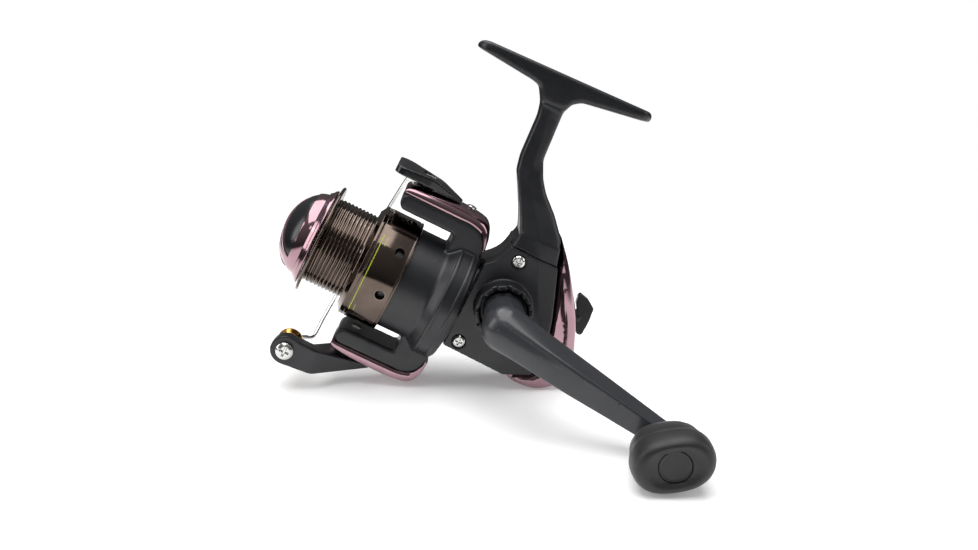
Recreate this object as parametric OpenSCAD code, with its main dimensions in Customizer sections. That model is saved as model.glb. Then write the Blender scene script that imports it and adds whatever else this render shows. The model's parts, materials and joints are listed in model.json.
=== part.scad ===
// Spinning reel with a fixed spool, a bail arm, a crown-gear drive and a front drag.
// Origin: centre of the foot's mounting face. +X runs to the nose, +Y to the handle, +Z to the rod.
// Everything below the stem is drawn in the head frame: the spool turns about its X axis.

/* [Foot and stem] */
// Length of the foot
foot_l = 64; // [54:1:76]
// Width of the foot
foot_w = 11.5; // [9.5:0.5:14]
// Thickness of the foot at its tips
foot_tip_t = 3.3; // [2.8:0.1:4]
// Distance from the foot's face down to the head's origin
reel_drop = 89.3; // [76:0.1:107]
// Distance from the foot's centre back to the head's origin
head_back = 10.3; // [8:0.1:12]
// Upward tilt of the spool axis, in degrees
shaft_tilt = 3.5; // [2:0.5:5]
// Width of the stem under the foot
stem_w = 8.5; // [7:0.5:9.5]

/* [Body] */
// Half width of the gear case on the plain side
case_right = 10.5; // [10:0.1:12.6]
// Half width of the gear case on the handle side
case_left = 11; // [10.4:0.1:13.2]
// Wall of the case and its cover
wall = 1.4; // [1:0.1:1.8]
// Height of the seam between the side cover and the stem
seam_z = 29.5; // [28:0.5:31]
// Radius of the round neck inside the rotor
neck_r = 16.6; // [16.4:0.1:16.9]
// Radius of the collar round the handle
collar_r = 10; // [9.4:0.1:11.5]
// Reach of the collar from the middle of the reel
collar_y = 19.5; // [17:0.5:20]

/* [Drive] */
// Height of the handle's axis above the spool axis
drive_z = 8.7; // [8.4:0.1:9.2]
// Teeth on the crown gear
crown_teeth = 36; // [36]
// Teeth on the pinion
pinion_teeth = 8; // [8]
// Distance of the mesh in front of the handle's axis
mesh_x = 11; // [10.8:0.1:11.2]
// Radius of the drive shaft
drive_r = 3; // [2.6:0.1:3.2]
// Radius of the main shaft
shaft_r = 1.5; // [1.3:0.05:1.55]
// Module of the two oscillation gears
spur_m = 0.6; // [0.6]
// Stroke of the spool
stroke = 8; // [6.8:0.2:8.2]

/* [Handle] */
// Distance from the handle's axis to the knob's axis
crank_r = 54; // [45:1:65]
// Direction of the handle at rest, in degrees below straight back
crank_dip = 3.6; // [0:0.1:10]
// Radius of the ball at the root of the handle
ball_r = 8; // [7:0.2:9.6]
// Reach of that ball from the middle of the reel
ball_y = 35.5; // [33:0.5:42]
// Reach of the arm's outer end from the middle of the reel
arm_end_y = 56; // [54.5:0.5:66]
// Length of the knob along its axis
knob_l = 20; // [16.5:0.5:24]
// Width of the knob
knob_w = 25; // [21:0.5:31]
// Height of the knob
knob_h = 19; // [16:0.5:24]

/* [Rotor and bail] */
// Radius of the rotor's hub
hub_r = 18.7; // [18.4:0.1:19]
// Distance of the arms' inner faces from the spool axis
arm_in = 23.5; // [22.5:0.1:25]
// Depth of the arms
arm_t = 6; // [5:0.2:7.2]
// Width of the arms
arm_w = 16; // [13.4:0.5:19]
// Thickness of the chrome arm covers
cover_t = 4; // [3.4:0.1:4.8]
// Distance of the bail's pivot in front of the handle's axis
bail_x = 42; // [41:0.5:43]
// Radius of the bail wire's arc
bail_r = 37.4; // [36.5:0.1:38.4]
// Diameter of the bail wire
wire_d = 1.6; // [1.3:0.1:2]
// Radius of the line roller
roller_r = 4.6; // [3.8:0.1:5]

/* [Spool and drag] */
// Radius of the spool's skirt
skirt_r = 20.6; // [20.3:0.1:21.6]
// Length of the skirt
skirt_l = 15.3; // [14:0.1:16]
// Radius of the line groove
arbor_r = 15.8; // [13.2:0.1:17]
// Length of the line groove
arbor_l = 14.2; // [12:0.1:15]
// Radius of the front lip
lip_r = 19.8; // [18:0.1:20.2]
// Length of the drag knob's dome
dome_l = 11; // [9.2:0.1:11.2]
// Radius of the holes round the skirt
skirt_hole_r = 1.7; // [1.2:0.1:2.2]

/* [Fits] */
// Radial clearance of a turning fit
run = 0.05; // [0.02:0.01:0.09]
// Gap between pieces that move past each other
gap = 0.4; // [0.3:0.05:0.45]

/* [Hidden] */
$fn = 48;
hull_fn = 32;
black = "#26272b";
handle_grey = "#4a4a4d";
rose = "#b98d98";
gunmetal = "#5d5450";
steel = "#b9bcc0";
brass = "#c79a4b";
cut = 1;

// the case, seen from the side
case_front = 14;
notch = [20, 30.4];
notch_r = 12.8;
case_top = seam_z + 1.5;
case_points = [[-10.2, case_top], [case_front, case_top], [case_front, -12.5], [-11, -13.2],
    [-19.8, -9], [-21.3, -5], [-20.5, 3], [-17.7, 12.1], [-14.6, 20.1], [-10.9, 29]];
tail_points = [[-7.6, 39], [-14.3, 31.6], [-20, 24.1], [-25.3, 16.3], [-29.3, 8.3], [-32, 1.5],
    [-32.6, -4], [-30.8, -9.3], [-26, -13.5], [-20.8, -15], [-15.6, -15], [-11, -13.2],
    [-19.8, -9], [-21.3, -5], [-20.5, 3], [-17.7, 12.1], [-14.6, 20.1], [-10.9, 29]];
tail_wall = 1.2;
tail_w = case_right - 0.7;
cover_front = 12.8;
split_y = 4;

// the drive train
ratio = crown_teeth / pinion_teeth;
pitch_r = mesh_x / ratio;
tooth_in = 0.24;
pinion_tip = pitch_r + 0.4;
pinion_root = pitch_r - 0.38;
crown_face = 2.2;
crown_y = pinion_tip + 0.25;
crown_t = 2.2;
crown_r = sqrt(pow(mesh_x + crown_face / 2, 2) + pow(drive_z, 2)) + 0.05;
spur_teeth = 14;
osc_teeth = 28;
spur_add = 0.5;
spur_ded = 0.7;
spur_gap = spur_m * (spur_teeth + osc_teeth) / 2;
slider_x = -6;
osc_x = slider_x - stroke / 2;
osc_z = drive_z - sqrt(spur_gap * spur_gap - osc_x * osc_x);
osc_dir = atan2(osc_z - drive_z, osc_x);
spur_y0 = -7;
spur_y1 = -4.6;
pin_r = 1;
slider_y0 = -3.6;
slider_y1 = -2.1;
slider_half = 2.3;
bush_r = 5;
journal_r = 3;
seat_r = 2.6;
bearing_r = 5.5;
bearing_x0 = 15.2;
bearing_x1 = 19.2;
retainer_t = 0.8;
ratchet_x = 21;
ratchet_t = 1.8;
ratchet_r = 8;
notches = 4;

// the handle
crank_dir = 180 + crank_dip;
arm_end_r = 4.6;
spindle_r = 2;
knob_turn = 29;
knob_y0 = arm_end_y + arm_end_r + gap;
neck_h_r = 7.2;

// the rotor and bail
rotor_back = 14;
plate_x = 24.2;
plate_t = 2.5;
hub_wall = 1.3;
arm_out = arm_in + arm_t;
arm_front = 48;
arm_back = rotor_back + 1;
cover_out = arm_out + cover_t;
boss_r = 3.4;
bail_z0 = cover_out + gap;
pivot_r = 1.6;
pivot_seat = 1.8;
wire_centre = [bail_x + 9, -4, -1];
wire_tilt = 5;
wire_low = 79;
wire_high = 90;
roller_x = 61;
roller_z = -38.6;
roller_y0 = 0.5;
roller_y1 = 7.2;
roller_boss_y1 = 12;
cone_l = 8;

// the spool and drag
skirt_x = 36.5;
groove_x = skirt_x + skirt_l;
lip_x = groove_x + arbor_l;
lip_t = 1.4;
nose_x = lip_x + lip_t;
skirt_wall = 1.1;
recess_r = 9.6;
recess_x = nose_x - 7.5;
web_x = groove_x - 1.5;
hub_front = web_x - stroke - gap;
seat_x = 42;
sleeve_l = 2.2;
seat_t = 1.6;
knob_base_x = nose_x + gap;
knob_base_t = 2.6;
knob_base_r = 17.8;
dome_r = 15.3;
washer_t = 0.9;

// the anti-reverse
lever_y = -2.5;
lever_z = 14.5;
lever_r = 1.25;
pawl_y = -12;
pawl_z = 2;
pawl_t = ratchet_t;
// where the pawl's tip lies round the ratchet when it is home
lock_dir = 137;

module head() {
    translate([-head_back, 0, -reel_drop]) rotate([0, -shaft_tilt, 0]) children();
}
module along_x(x0, length, r) {
    translate([x0, 0, 0]) rotate([0, 90, 0]) cylinder(r = r, h = length);
}
module along_y(y0, length, r) {
    translate([0, y0, 0]) rotate([-90, 0, 0]) cylinder(r = r, h = length);
}
module tube_x(x0, length, r, bore) {
    difference() {
        along_x(x0, length, r);
        along_x(x0 - cut, length + 2 * cut, bore);
    }
}
module tube_y(y0, length, r, bore) {
    difference() {
        along_y(y0, length, r);
        along_y(y0 - cut, length + 2 * cut, bore);
    }
}
// a side-view outline, spread from y0 to y1
module slab(y0, y1) {
    translate([0, y1, 0]) rotate([90, 0, 0]) linear_extrude(y1 - y0) children();
}
// an outline of radius against x, turned about the spool axis
module turned() {
    rotate([0, 90, 0]) rotate([0, 0, 90]) rotate_extrude() rotate([0, 0, 90]) mirror([0, 1]) children();
}
module at_drive() {
    translate([0, 0, drive_z]) children();
}
// a crosshead screw pointing down, with the underside of its head at z = 0
module screw(head_r, head_h, shank_r, length) {
    difference() {
        union() {
            cylinder(r = head_r, h = head_h * 0.6);
            translate([0, 0, head_h * 0.6]) cylinder(r1 = head_r, r2 = head_r * 0.72, h = head_h * 0.4);
            translate([0, 0, -length]) cylinder(r = shank_r, h = length + head_h / 2);
        }
        for (turn = [0, 90])
            rotate(turn) translate([-head_r * 0.55, -head_r * 0.12, head_h * 0.4])
                cube([head_r * 1.1, head_r * 0.24, head_h]);
    }
}
module case_shape() {
    difference() {
        polygon(case_points);
        translate(notch) circle(r = notch_r);
    }
}
// the foot's side view, with its toes rounded off on top
module foot_shape() {
    polygon([[-foot_l / 2 + 1.4, 0], [foot_l / 2 - 3.4, 0], [foot_l / 2 - 1.5, -0.5],
        [foot_l / 2 - 0.3, -1.7], [foot_l / 2, -foot_tip_t], [foot_l / 6, -foot_tip_t - 2.7],
        [7.5, -foot_tip_t - 3.5], [5, -11.3], [-3.5, -11.3], [-4.6, -foot_tip_t - 5],
        [-7.6, -foot_tip_t - 3.1], [-foot_l / 2, -foot_tip_t], [-foot_l / 2, -1.2]]);
}
module foot() {
    intersection() {
        slab(-foot_w / 2, foot_w / 2) foot_shape();
        translate([0, 0, -12]) linear_extrude(12) hull()
            for (end = [-1, 1])
                translate([end * (foot_l / 2 - foot_w / 2), 0]) circle(d = foot_w);
    }
}
// heights in the stem are shares of the drop, so it stretches with it
function down(share) = -share * reel_drop;
module stem_shape() {
    polygon([[5.4, -4], [5.1, down(0.127)], [4.2, down(0.176)], [4.1, down(0.343)], [3.2, down(0.402)],
        [0.3, down(0.463)], [-3.5, down(0.549)], [-6, down(0.617)], [-5.2, down(0.666)],
        [-6, down(0.706)], [-20, down(0.706)], [-22.6, down(0.686)], [-20.2, down(0.575)],
        [-15, down(0.502)], [-9.4, down(0.441)], [-6.4, down(0.393)], [-3.8, down(0.327)],
        [-3.4, down(0.137)], [-4.3, -4]]);
}
module stem() {
    intersection() {
        slab(-case_left - 1, case_left + 1) stem_shape();
        rotate([90, 0, 90]) translate([0, 0, -40]) linear_extrude(80)
            polygon([[stem_w / 2, 0], [stem_w / 2, down(0.372)], [stem_w / 2 + 2, down(0.48)],
                [case_left - 0.4, down(0.608)], [case_left, down(0.725)], [-case_right, down(0.725)],
                [-case_right + 0.4, down(0.608)], [-stem_w / 2 - 2, down(0.48)],
                [-stem_w / 2, down(0.372)], [-stem_w / 2, 0]]);
    }
}
// room for the side cover, and for the rear cover under the stem
module cover_room() {
    translate([-60, split_y, -60]) cube([60 + cover_front, 40, 60 + seam_z]);
    slab(-40, 40) polygon(tail_points);
}
screw_places = [[2.6, 25.6], [8.3, -9]];
module case_posts(y0, y1, r) {
    for (place = screw_places)
        translate([place[0], 0, place[1]]) along_y(y0, y1 - y0, r);
}
module body_housing() {
    color(black) difference() {
        union() {
            foot();
            difference() {
                stem();
                head() cover_room();
            }
            head() {
                difference() {
                    slab(-case_right, split_y) case_shape();
                    slab(-case_right + wall, split_y + cut) offset(delta = -wall) case_shape();
                }
                intersection() {
                    slab(-case_right, split_y) case_shape();
                    case_posts(-case_right, split_y, 2.4);
                }
                along_x(cover_front + 0.2, bearing_x1 - cover_front - 0.2, neck_r);
                at_drive() along_y(-case_right - 2, 2 + wall + 1, bush_r + 1.4);
                translate([osc_x, 0, osc_z]) along_y(-case_right, case_right + spur_y0 - 0.2, 3);
                translate([-24, -4, -7]) cube([6, 8, 6]);
            }
        }
        head() {
            at_drive() along_y(crown_y - 0.9, 20, crown_r + 0.5);
            at_drive() along_y(-case_right - 3, 10, bush_r);
            along_x(-30, 60, pinion_tip + 0.5);
            along_x(bearing_x0, 10, bearing_r);
            translate([0, lever_y, lever_z]) along_x(-40, 80, lever_r + run);
            translate([osc_x, 0, osc_z]) along_y(-case_right + 0.8, 8, 1.5);
            translate([0, pawl_y, pawl_z]) along_x(bearing_x1 - 3, 8, 1);
            for (side = [-1, 1])
                translate([0, side * 7.2, -side * 1.5]) along_x(bearing_x1 - 3.2, 8, 0.8);
            case_posts(-case_right + wall, 30, 1);
            translate([0, 0, -4]) along_x(-40, 20, 1);
        }
    }
}
module cover_half() {
    intersection() {
        case_shape();
        translate([-60, -60]) square([60 + cover_front, 60 + seam_z - 0.15]);
    }
}
module side_cover() {
    color(black) head() difference() {
        union() {
            difference() {
                slab(split_y, case_left) cover_half();
                slab(split_y - cut, case_left - wall) offset(delta = -wall) cover_half();
            }
            intersection() {
                slab(split_y, case_left) cover_half();
                case_posts(split_y, case_left, 2.4);
            }
            at_drive() along_y(case_left - wall / 2, collar_y - case_left + wall / 2, collar_r);
        }
        at_drive() along_y(case_left + 3.2, 20, collar_r - 1.6);
        at_drive() along_y(0, 40, bush_r);
        at_drive() along_y(0, crown_y + crown_t + 0.5, crown_r + 0.5);
        at_drive() for (turn = [15:30:345])
            rotate([0, turn, 0]) translate([collar_r - 2.2, collar_y - 1.6, -0.9]) cube([4, 2, 1.8]);
        case_posts(0, case_left + 1, 1.1);
        case_posts(case_left - 0.7, case_left + 8, 2.5);
    }
}
module cover_screws() {
    color(steel) head() for (place = screw_places)
        translate([place[0], case_left - 0.7, place[1]]) rotate([-90, 0, 0]) screw(2.2, 1.2, 1, 8.5);
}
module rear_cover() {
    color(rose) head() difference() {
        slab(-tail_w, tail_w) polygon(tail_points);
        slab(-tail_w + tail_wall, tail_w - tail_wall) offset(delta = -tail_wall) polygon(tail_points);
        slab(-tail_w + tail_wall, tail_w - tail_wall)
            polygon([[-14, 5], [-14, 24], [-18, 24], [-22.5, 15], [-24, 5]]);
        slab(-tail_w + tail_wall, tail_w - tail_wall)
            polygon([[-16, 6], [-25, 6], [-28, 0], [-28, -9], [-16, -9]]);
        translate([0, lever_y, lever_z]) along_x(-40, 80, 2.2 + gap);
        translate([0, 0, -4]) along_x(-40, 30, 1.1);
        translate([0, 0, -4]) along_x(-40, 8.7, 2.3);
    }
}
module rear_cover_screw() {
    color(steel) head() translate([-31.3, 0, -4]) rotate([0, -90, 0]) screw(2.1, 1, 1, 9.5);
}
module left_drive_bush() {
    color(brass) head() at_drive() tube_y(case_left - wall - 1, 4.6 + wall, bush_r, drive_r + run);
}
module right_drive_bush() {
    color(brass) head() at_drive() tube_y(-case_right, 3, bush_r, drive_r + run);
}
module pinion_bearing() {
    color(steel) head() difference() {
        tube_x(bearing_x0, bearing_x1 - bearing_x0, bearing_r, journal_r + run);
        for (face = [bearing_x0 - cut, bearing_x1 - 0.3])
            difference() {
                along_x(face, cut + 0.3, bearing_r - 0.8);
                along_x(face - cut, 3 * cut, journal_r + 0.8);
            }
    }
}
module bearing_retainer() {
    color(steel) head() difference() {
        intersection() {
            along_x(bearing_x1, retainer_t, 9.4);
            translate([bearing_x1 - cut, -9.2, -4.6]) cube([4, 18.4, 9.2]);
        }
        along_x(bearing_x1 - cut, 4, journal_r + 0.6);
        for (side = [-1, 1])
            translate([0, side * 7.2, -side * 1.5]) along_x(bearing_x1 - cut, 4, 0.9);
    }
}
module retainer_screws() {
    color(steel) head() for (side = [-1, 1])
        translate([bearing_x1 + retainer_t, side * 7.2, -side * 1.5]) rotate([0, 90, 0])
            screw(1.5, 0.7, 0.8, 3.6);
}
module dust_cap() {
    color(black) head() at_drive() difference() {
        union() {
            along_y(-case_right - 5.4, 3.4, bush_r + 1.4);
            along_y(-case_right - 3, 2.4, bush_r - 0.1);
        }
        along_y(-case_right - 4.4, 6, bush_r - 1);
        for (turn = [0:30:330])
            rotate([0, turn, 0]) translate([bush_r + 1, -case_right - 6, -0.4]) cube([2, 3, 0.8]);
    }
}
module oscillation_axle() {
    color(steel) head() translate([osc_x, 0, osc_z]) along_y(-case_right + 0.8, case_right + spur_y1 - 0.4, 1.5);
}
module pawl_pin() {
    color(steel) head() translate([0, pawl_y, pawl_z]) along_x(bearing_x1 - 3, ratchet_x + ratchet_t - bearing_x1 + 3.5, 1);
}

// a straight tooth: root width, tip width and height, standing on y = base
module tooth(base, height, root_w, tip_w) {
    polygon([[-root_w / 2, base - tooth_in], [root_w / 2, base - tooth_in], [root_w / 2, base],
        [tip_w / 2, base + height], [-tip_w / 2, base + height], [-root_w / 2, base]]);
}
module spur_shape(teeth, first) {
    root = spur_m * teeth / 2 - spur_ded;
    circle(r = root);
    for (step = [0:teeth - 1])
        rotate(first + step * 360 / teeth - 90)
            tooth(root, spur_add + spur_ded, spur_m * 1.7, spur_m * 0.7);
}
module drive_gear() {
    color(steel) head() at_drive() difference() {
        union() {
            along_y(-case_right - 0.3, case_right + 24.3, drive_r);
            along_y(crown_y, crown_t, crown_r);
            along_y(crown_y, 5, drive_r + 1.4);
            slab(spur_y0, spur_y1) spur_shape(spur_teeth, osc_dir);
            for (step = [0:crown_teeth - 1])
                rotate([0, step * 360 / crown_teeth, 0])
                    translate([mesh_x - crown_face / 2, 0, -drive_z]) rotate([0, 90, 0])
                        linear_extrude(crown_face) rotate(180)
                            tooth(-crown_y, crown_y - pinion_root - 0.15, 0.8, 0.4);
        }
        along_y(-40, 80, 1.5 + run);
        for (turn = [0:60:300])
            rotate([0, turn, 0]) translate([9.2, 0, 0]) along_y(crown_y - cut, crown_t + 2 * cut, 2.2);
    }
}
module arm_point(dist, y) {
    translate([cos(crank_dir) * dist, y, drive_z + sin(crank_dir) * dist]) children();
}
module handle_arm() {
    color(handle_grey) head() difference() {
        union() {
            at_drive() along_y(collar_y - 4.2, ball_y - collar_y + 4.2, neck_h_r);
            hull() {
                arm_point(0, ball_y) sphere(r = ball_r, $fn = hull_fn);
                arm_point(crank_r * 0.4, ball_y + (arm_end_y - ball_y) * 0.44) sphere(r = 6.6, $fn = hull_fn);
                arm_point(crank_r, arm_end_y) sphere(r = arm_end_r, $fn = hull_fn);
            }
        }
        at_drive() along_y(0, 24.2, drive_r);
        at_drive() along_y(20, ball_y - 26, 1.5);
        arm_point(crank_r, 0) along_y(arm_end_y - 3, 20, spindle_r);
    }
}
module handle_screw() {
    color(steel) head() at_drive() translate([0, -case_right - 0.3, 0]) rotate([90, 0, 0])
        screw(3.4, 1.8, 1.5, ball_y + 3);
}
module knob_spindle() {
    color(steel) head() arm_point(crank_r, 0) {
        along_y(arm_end_y - 3, knob_l + arm_end_r + 1, spindle_r);
        along_y(knob_y0 + knob_l - 3.2, 1, spindle_r + 0.9);
    }
}
// the knob, with its narrow back at y = 0 and its flat front at knob_l
module knob_form() {
    lobe_r = knob_h * 0.46;
    hull() {
        along_y(0, 2, knob_h * 0.32);
        for (side = [-1, 1])
            translate([side * (knob_w / 2 - lobe_r), 0, -side * knob_h * 0.04]) {
                along_y(knob_l * 0.45, 2, lobe_r * 0.94);
                along_y(knob_l - 3, 1.4, lobe_r);
                along_y(knob_l - 1.2, 1.2, lobe_r - 1.2);
            }
    }
}
module knob_body() {
    color(black) head() arm_point(crank_r, knob_y0) difference() {
        rotate([0, knob_turn, 0]) knob_form($fn = hull_fn);
        along_y(-cut, knob_l, spindle_r + run);
        along_y(knob_l - 3.6, 5, 5);
    }
}
module knob_cap() {
    color(black) head() arm_point(crank_r, knob_y0) along_y(knob_l - 1.6, 1.4, 5);
}

module pinion() {
    color(brass) head() difference() {
        union() {
            along_x(mesh_x - 1.9, 5, pinion_root);
            along_x(cover_front + 0.4, plate_x - cover_front - 0.4, journal_r);
            intersection() {
                along_x(plate_x - cut, plate_t + 4.5 + cut, seat_r);
                translate([plate_x - cut, -seat_r, -2]) cube([12, 2 * seat_r, 4]);
            }
            for (step = [0:pinion_teeth - 1])
                rotate([(step + 0.5) * 360 / pinion_teeth, 0, 0]) translate([mesh_x - 1.6, 0, 0])
                    rotate([90, 0, 90]) linear_extrude(3.2)
                        tooth(pinion_root, pinion_tip - pinion_root, 0.85, 0.45);
        }
        along_x(0, 60, shaft_r + run);
    }
}
module arm_side() {
    round_r = 7.5;
    difference() {
        hull() {
            translate([arm_back + round_r, arm_out - round_r]) circle(r = round_r);
            translate([arm_front - 3, arm_out - 3]) circle(r = 3);
            translate([arm_front - 3, arm_in + 3]) circle(r = 3);
            translate([arm_back, 0]) square([4, 1]);
        }
        translate([26.5, -cut]) square([40, arm_in + cut]);
    }
}
module rotor_arm() {
    slab(-arm_w / 2, arm_w / 2) difference() {
        arm_side();
        translate([0, -cut]) square([60, hub_r - 4]);
    }
    translate([bail_x, 0, arm_out - cut]) cylinder(r = boss_r, h = cover_t + cut);
}
module rotor() {
    color(black) head() difference() {
        union() {
            turned() polygon([[rotor_back, 0], [rotor_back, 20.4], [rotor_back + 1.2, 21.6], [21.5, 21.6],
                [25, hub_r], [hub_front, hub_r], [hub_front, 0]]);
            rotor_arm();
            rotate([180, 0, 0]) rotor_arm();
        }
        along_x(rotor_back - cut, plate_x - rotor_back + cut, neck_r + 0.6);
        along_x(plate_x + plate_t, 40, hub_r - hub_wall);
        intersection() {
            along_x(plate_x - 2, 12, seat_r);
            translate([plate_x - 2, -seat_r, -2]) cube([12, 2 * seat_r, 4]);
        }
        for (side = [0, 180])
            rotate([side, 0, 0]) {
                translate([bail_x, 0, arm_in - cut]) cylinder(r = pivot_r, h = 20);
                translate([24.5, 0, arm_in]) cylinder(r = 1, h = 20);
                translate([22, -arm_w / 2 + 1.6, arm_in + 2]) difference() {
                    cube([24.4, arm_w - 3.2, 10]);
                    translate([2.5, arm_w / 2 - 1.6, -cut]) cylinder(r = 2.2, h = 12);
                    translate([bail_x - 22, arm_w / 2 - 1.6, -cut]) cylinder(r = boss_r, h = 20);
                }
            }
    }
}
module rotor_nut() {
    color(steel) head() difference() {
        translate([plate_x + plate_t, 0, 0]) rotate([0, 90, 0]) cylinder(r = 5.4, h = 3, $fn = 6);
        along_x(plate_x, 12, seat_r);
    }
}
module reverse_ratchet() {
    color(steel) head() difference() {
        tube_x(ratchet_x, ratchet_t, ratchet_r, journal_r);
        for (step = [0:notches - 1])
            rotate([lock_dir + step * 360 / notches, 0, 0])
                translate([ratchet_x - cut, 0, 0]) rotate([90, 0, 90]) linear_extrude(ratchet_t + 2 * cut)
                    polygon([[ratchet_r - 1.8, -1.1], [ratchet_r + 1, -1.1], [ratchet_r + 1, 4.6],
                        [ratchet_r - 1, 3.6], [ratchet_r - 1.8, 0.6]]);
    }
}
module arm_cover() {
    difference() {
        slab(-arm_w / 2, arm_w / 2) difference() {
            hull() {
                translate([arm_back + 8.5, cover_out - 9.5]) circle(r = 9.5);
                translate([arm_front - 1.5, cover_out - 2.5]) circle(r = 1.5);
                translate([arm_front - 1.5, arm_out]) circle(r = 1.5);
                translate([arm_back - 1, hub_r + 3.5]) square([3, 1]);
            }
            arm_side();
            translate([0, -cut]) square([60, hub_r + 3.5 + cut]);
            translate([26.5, -cut]) square([40, arm_out + cut]);
            translate([arm_back + 2, -cut]) square([40, arm_out - 4]);
        }
        translate([22, -arm_w / 2 + 1.4, arm_out - 2]) cube([23, arm_w - 2.8, cover_t + 0.8]);
        translate([bail_x, 0, arm_out - cut]) cylinder(r = boss_r + 0.1, h = 20);
        translate([24.5, 0, arm_out - cut]) cylinder(r = 1.1, h = 20);
    }
}
module upper_arm_cover() {
    color(rose) head() arm_cover();
}
module lower_arm_cover() {
    color(rose) head() rotate([180, 0, 0]) arm_cover();
}
module arm_cover_screws() {
    color(steel) head() for (side = [0, 180])
        rotate([side, 0, 0]) translate([24.5, 0, cover_out]) screw(1.8, 0.8, 1, cover_t + 4);
}
module bail_pivot_screws() {
    color(steel) head() for (side = [0, 180])
        rotate([side, 0, 0]) translate([bail_x, 0, bail_z0 + pivot_seat + 2 * run])
            screw(3, 1.3, pivot_r, 12);
}
module bail_spring() {
    color(steel) head() rotate([180, 0, 0]) translate([bail_x, 0, arm_out - 3.4]) {
        for (turn = [0:3])
            translate([0, 0, turn * 0.7]) rotate_extrude() translate([boss_r + 0.5, 0]) circle(r = 0.4);
        rotate([0, 0, 180]) translate([0, boss_r + 0.5, 0]) rotate([0, 90, 0]) cylinder(r = 0.38, h = 9);
    }
}
module trip_lever() {
    color(steel) head() rotate([180, 0, 0]) translate([31, 0, arm_in + 2.3]) linear_extrude(1.5) difference() {
        hull() {
            circle(r = 2.2);
            translate([-4.6, 4]) circle(r = 1.2);
        }
        circle(r = 1 + run);
    }
}
module roller_arm() {
    color(black) head() difference() {
        union() {
            hull() {
                translate([bail_x, 0, -bail_z0 - 3.6]) cylinder(r = 6, h = 3.6, $fn = hull_fn);
                translate([bail_x - 8, 1, -bail_z0 - 1.2]) cylinder(r = 2.6, h = 1.2, $fn = hull_fn);
                translate([51.5, 8.6, -bail_z0 - 9.2]) cylinder(r = 3, h = 8.7, $fn = hull_fn);
            }
            hull() {
                translate([51.5, 8.6, -bail_z0 - 9.2]) cylinder(r = 3, h = 8.7, $fn = hull_fn);
                translate([roller_x, 0, roller_z]) along_y(roller_y1 + 0.3, roller_boss_y1 - roller_y1 - 0.3, 5.2);
            }
        }
        translate([bail_x, 0, -60]) cylinder(r = pivot_r + run, h = 40);
        translate([roller_x, 0, roller_z]) along_y(0, 30, 1.2);
        translate([roller_x, 0, roller_z]) along_y(-12, roller_y1 + 12.3, roller_r + gap);
        translate([bail_x, 0, -bail_z0 - pivot_seat - 10]) cylinder(r = 3.2, h = 10);
    }
}
module bail_holder() {
    color(black) head() difference() {
        hull() {
            translate([bail_x, 0, bail_z0]) cylinder(r = 5.8, h = 3.2, $fn = hull_fn);
            translate([bail_x - 11, 1, bail_z0]) cylinder(r = 2.6, h = 0.8, $fn = hull_fn);
            translate([bail_x + 9, 3.6, bail_z0]) cylinder(r = 3, h = 2.6, $fn = hull_fn);
            translate([bail_x + 9, -3, bail_z0]) cylinder(r = 3, h = 4.2, $fn = hull_fn);
        }
        wire_arc(45, wire_high + 1, wire_d + 2 * run);
        translate([bail_x, 0, 20]) cylinder(r = pivot_r + run, h = 40);
        translate([bail_x, 0, bail_z0 + pivot_seat]) cylinder(r = 3.2, h = 10);
    }
}
// a round bar from a to b, with a bead on its far end
module rod(a, b, d, bead) {
    way = b - a;
    translate(a) rotate([0, acos(way[2] / norm(way)), atan2(way[1], way[0])]) cylinder(d = d, h = norm(way));
    translate(b) sphere(d = bead);
}
// a point on the wire's arc, at an angle from its middle
function on_wire(angle) = wire_centre + bail_r * [-sin(angle) * sin(wire_tilt), -cos(angle),
    sin(angle) * cos(wire_tilt)];
// the wire's arc between two angles from its middle
module wire_arc(from, to, d) {
    translate(wire_centre) rotate([0, 0, -90]) rotate([90 + wire_tilt, 0, 0])
        rotate([0, 0, from]) rotate_extrude(angle = to - from)
            translate([bail_r, 0]) circle(d = d);
}
module bail_wire() {
    color(steel) head() {
        wire_arc(-wire_low, wire_high, wire_d);
        rod([roller_x, roller_y0 - cone_l + 0.9, roller_z], on_wire(-wire_low), wire_d * 0.94, wire_d + 0.2);
        translate([roller_x, 0, roller_z]) difference() {
            translate([0, roller_y0 - 0.3, 0]) rotate([90, 0, 0]) cylinder(r1 = 4.4, r2 = 1.4, h = cone_l);
            along_y(-4, 8, 1.2);
        }
    }
}
module roller_screw() {
    color(steel) head() translate([roller_x, roller_boss_y1, roller_z]) rotate([-90, 0, 0])
        screw(3.1, 1.7, 1.2, roller_boss_y1 + 3);
}
module roller_bush() {
    color(brass) head() translate([roller_x, 0, roller_z])
        tube_y(roller_y0 - 0.3, roller_y1 - roller_y0 + 0.6, 2, 1.2);
}
module line_roller() {
    color(brass) head() translate([roller_x, roller_y0, roller_z]) rotate([-90, 0, 0]) rotate_extrude()
        polygon([[2 + run, 0], [roller_r, 0], [roller_r, 0.9], [roller_r - 1.1, 2.4],
            [roller_r - 1.1, roller_y1 - roller_y0 - 2.4], [roller_r, roller_y1 - roller_y0 - 0.9],
            [roller_r, roller_y1 - roller_y0], [2 + run, roller_y1 - roller_y0]]);
}

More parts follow.
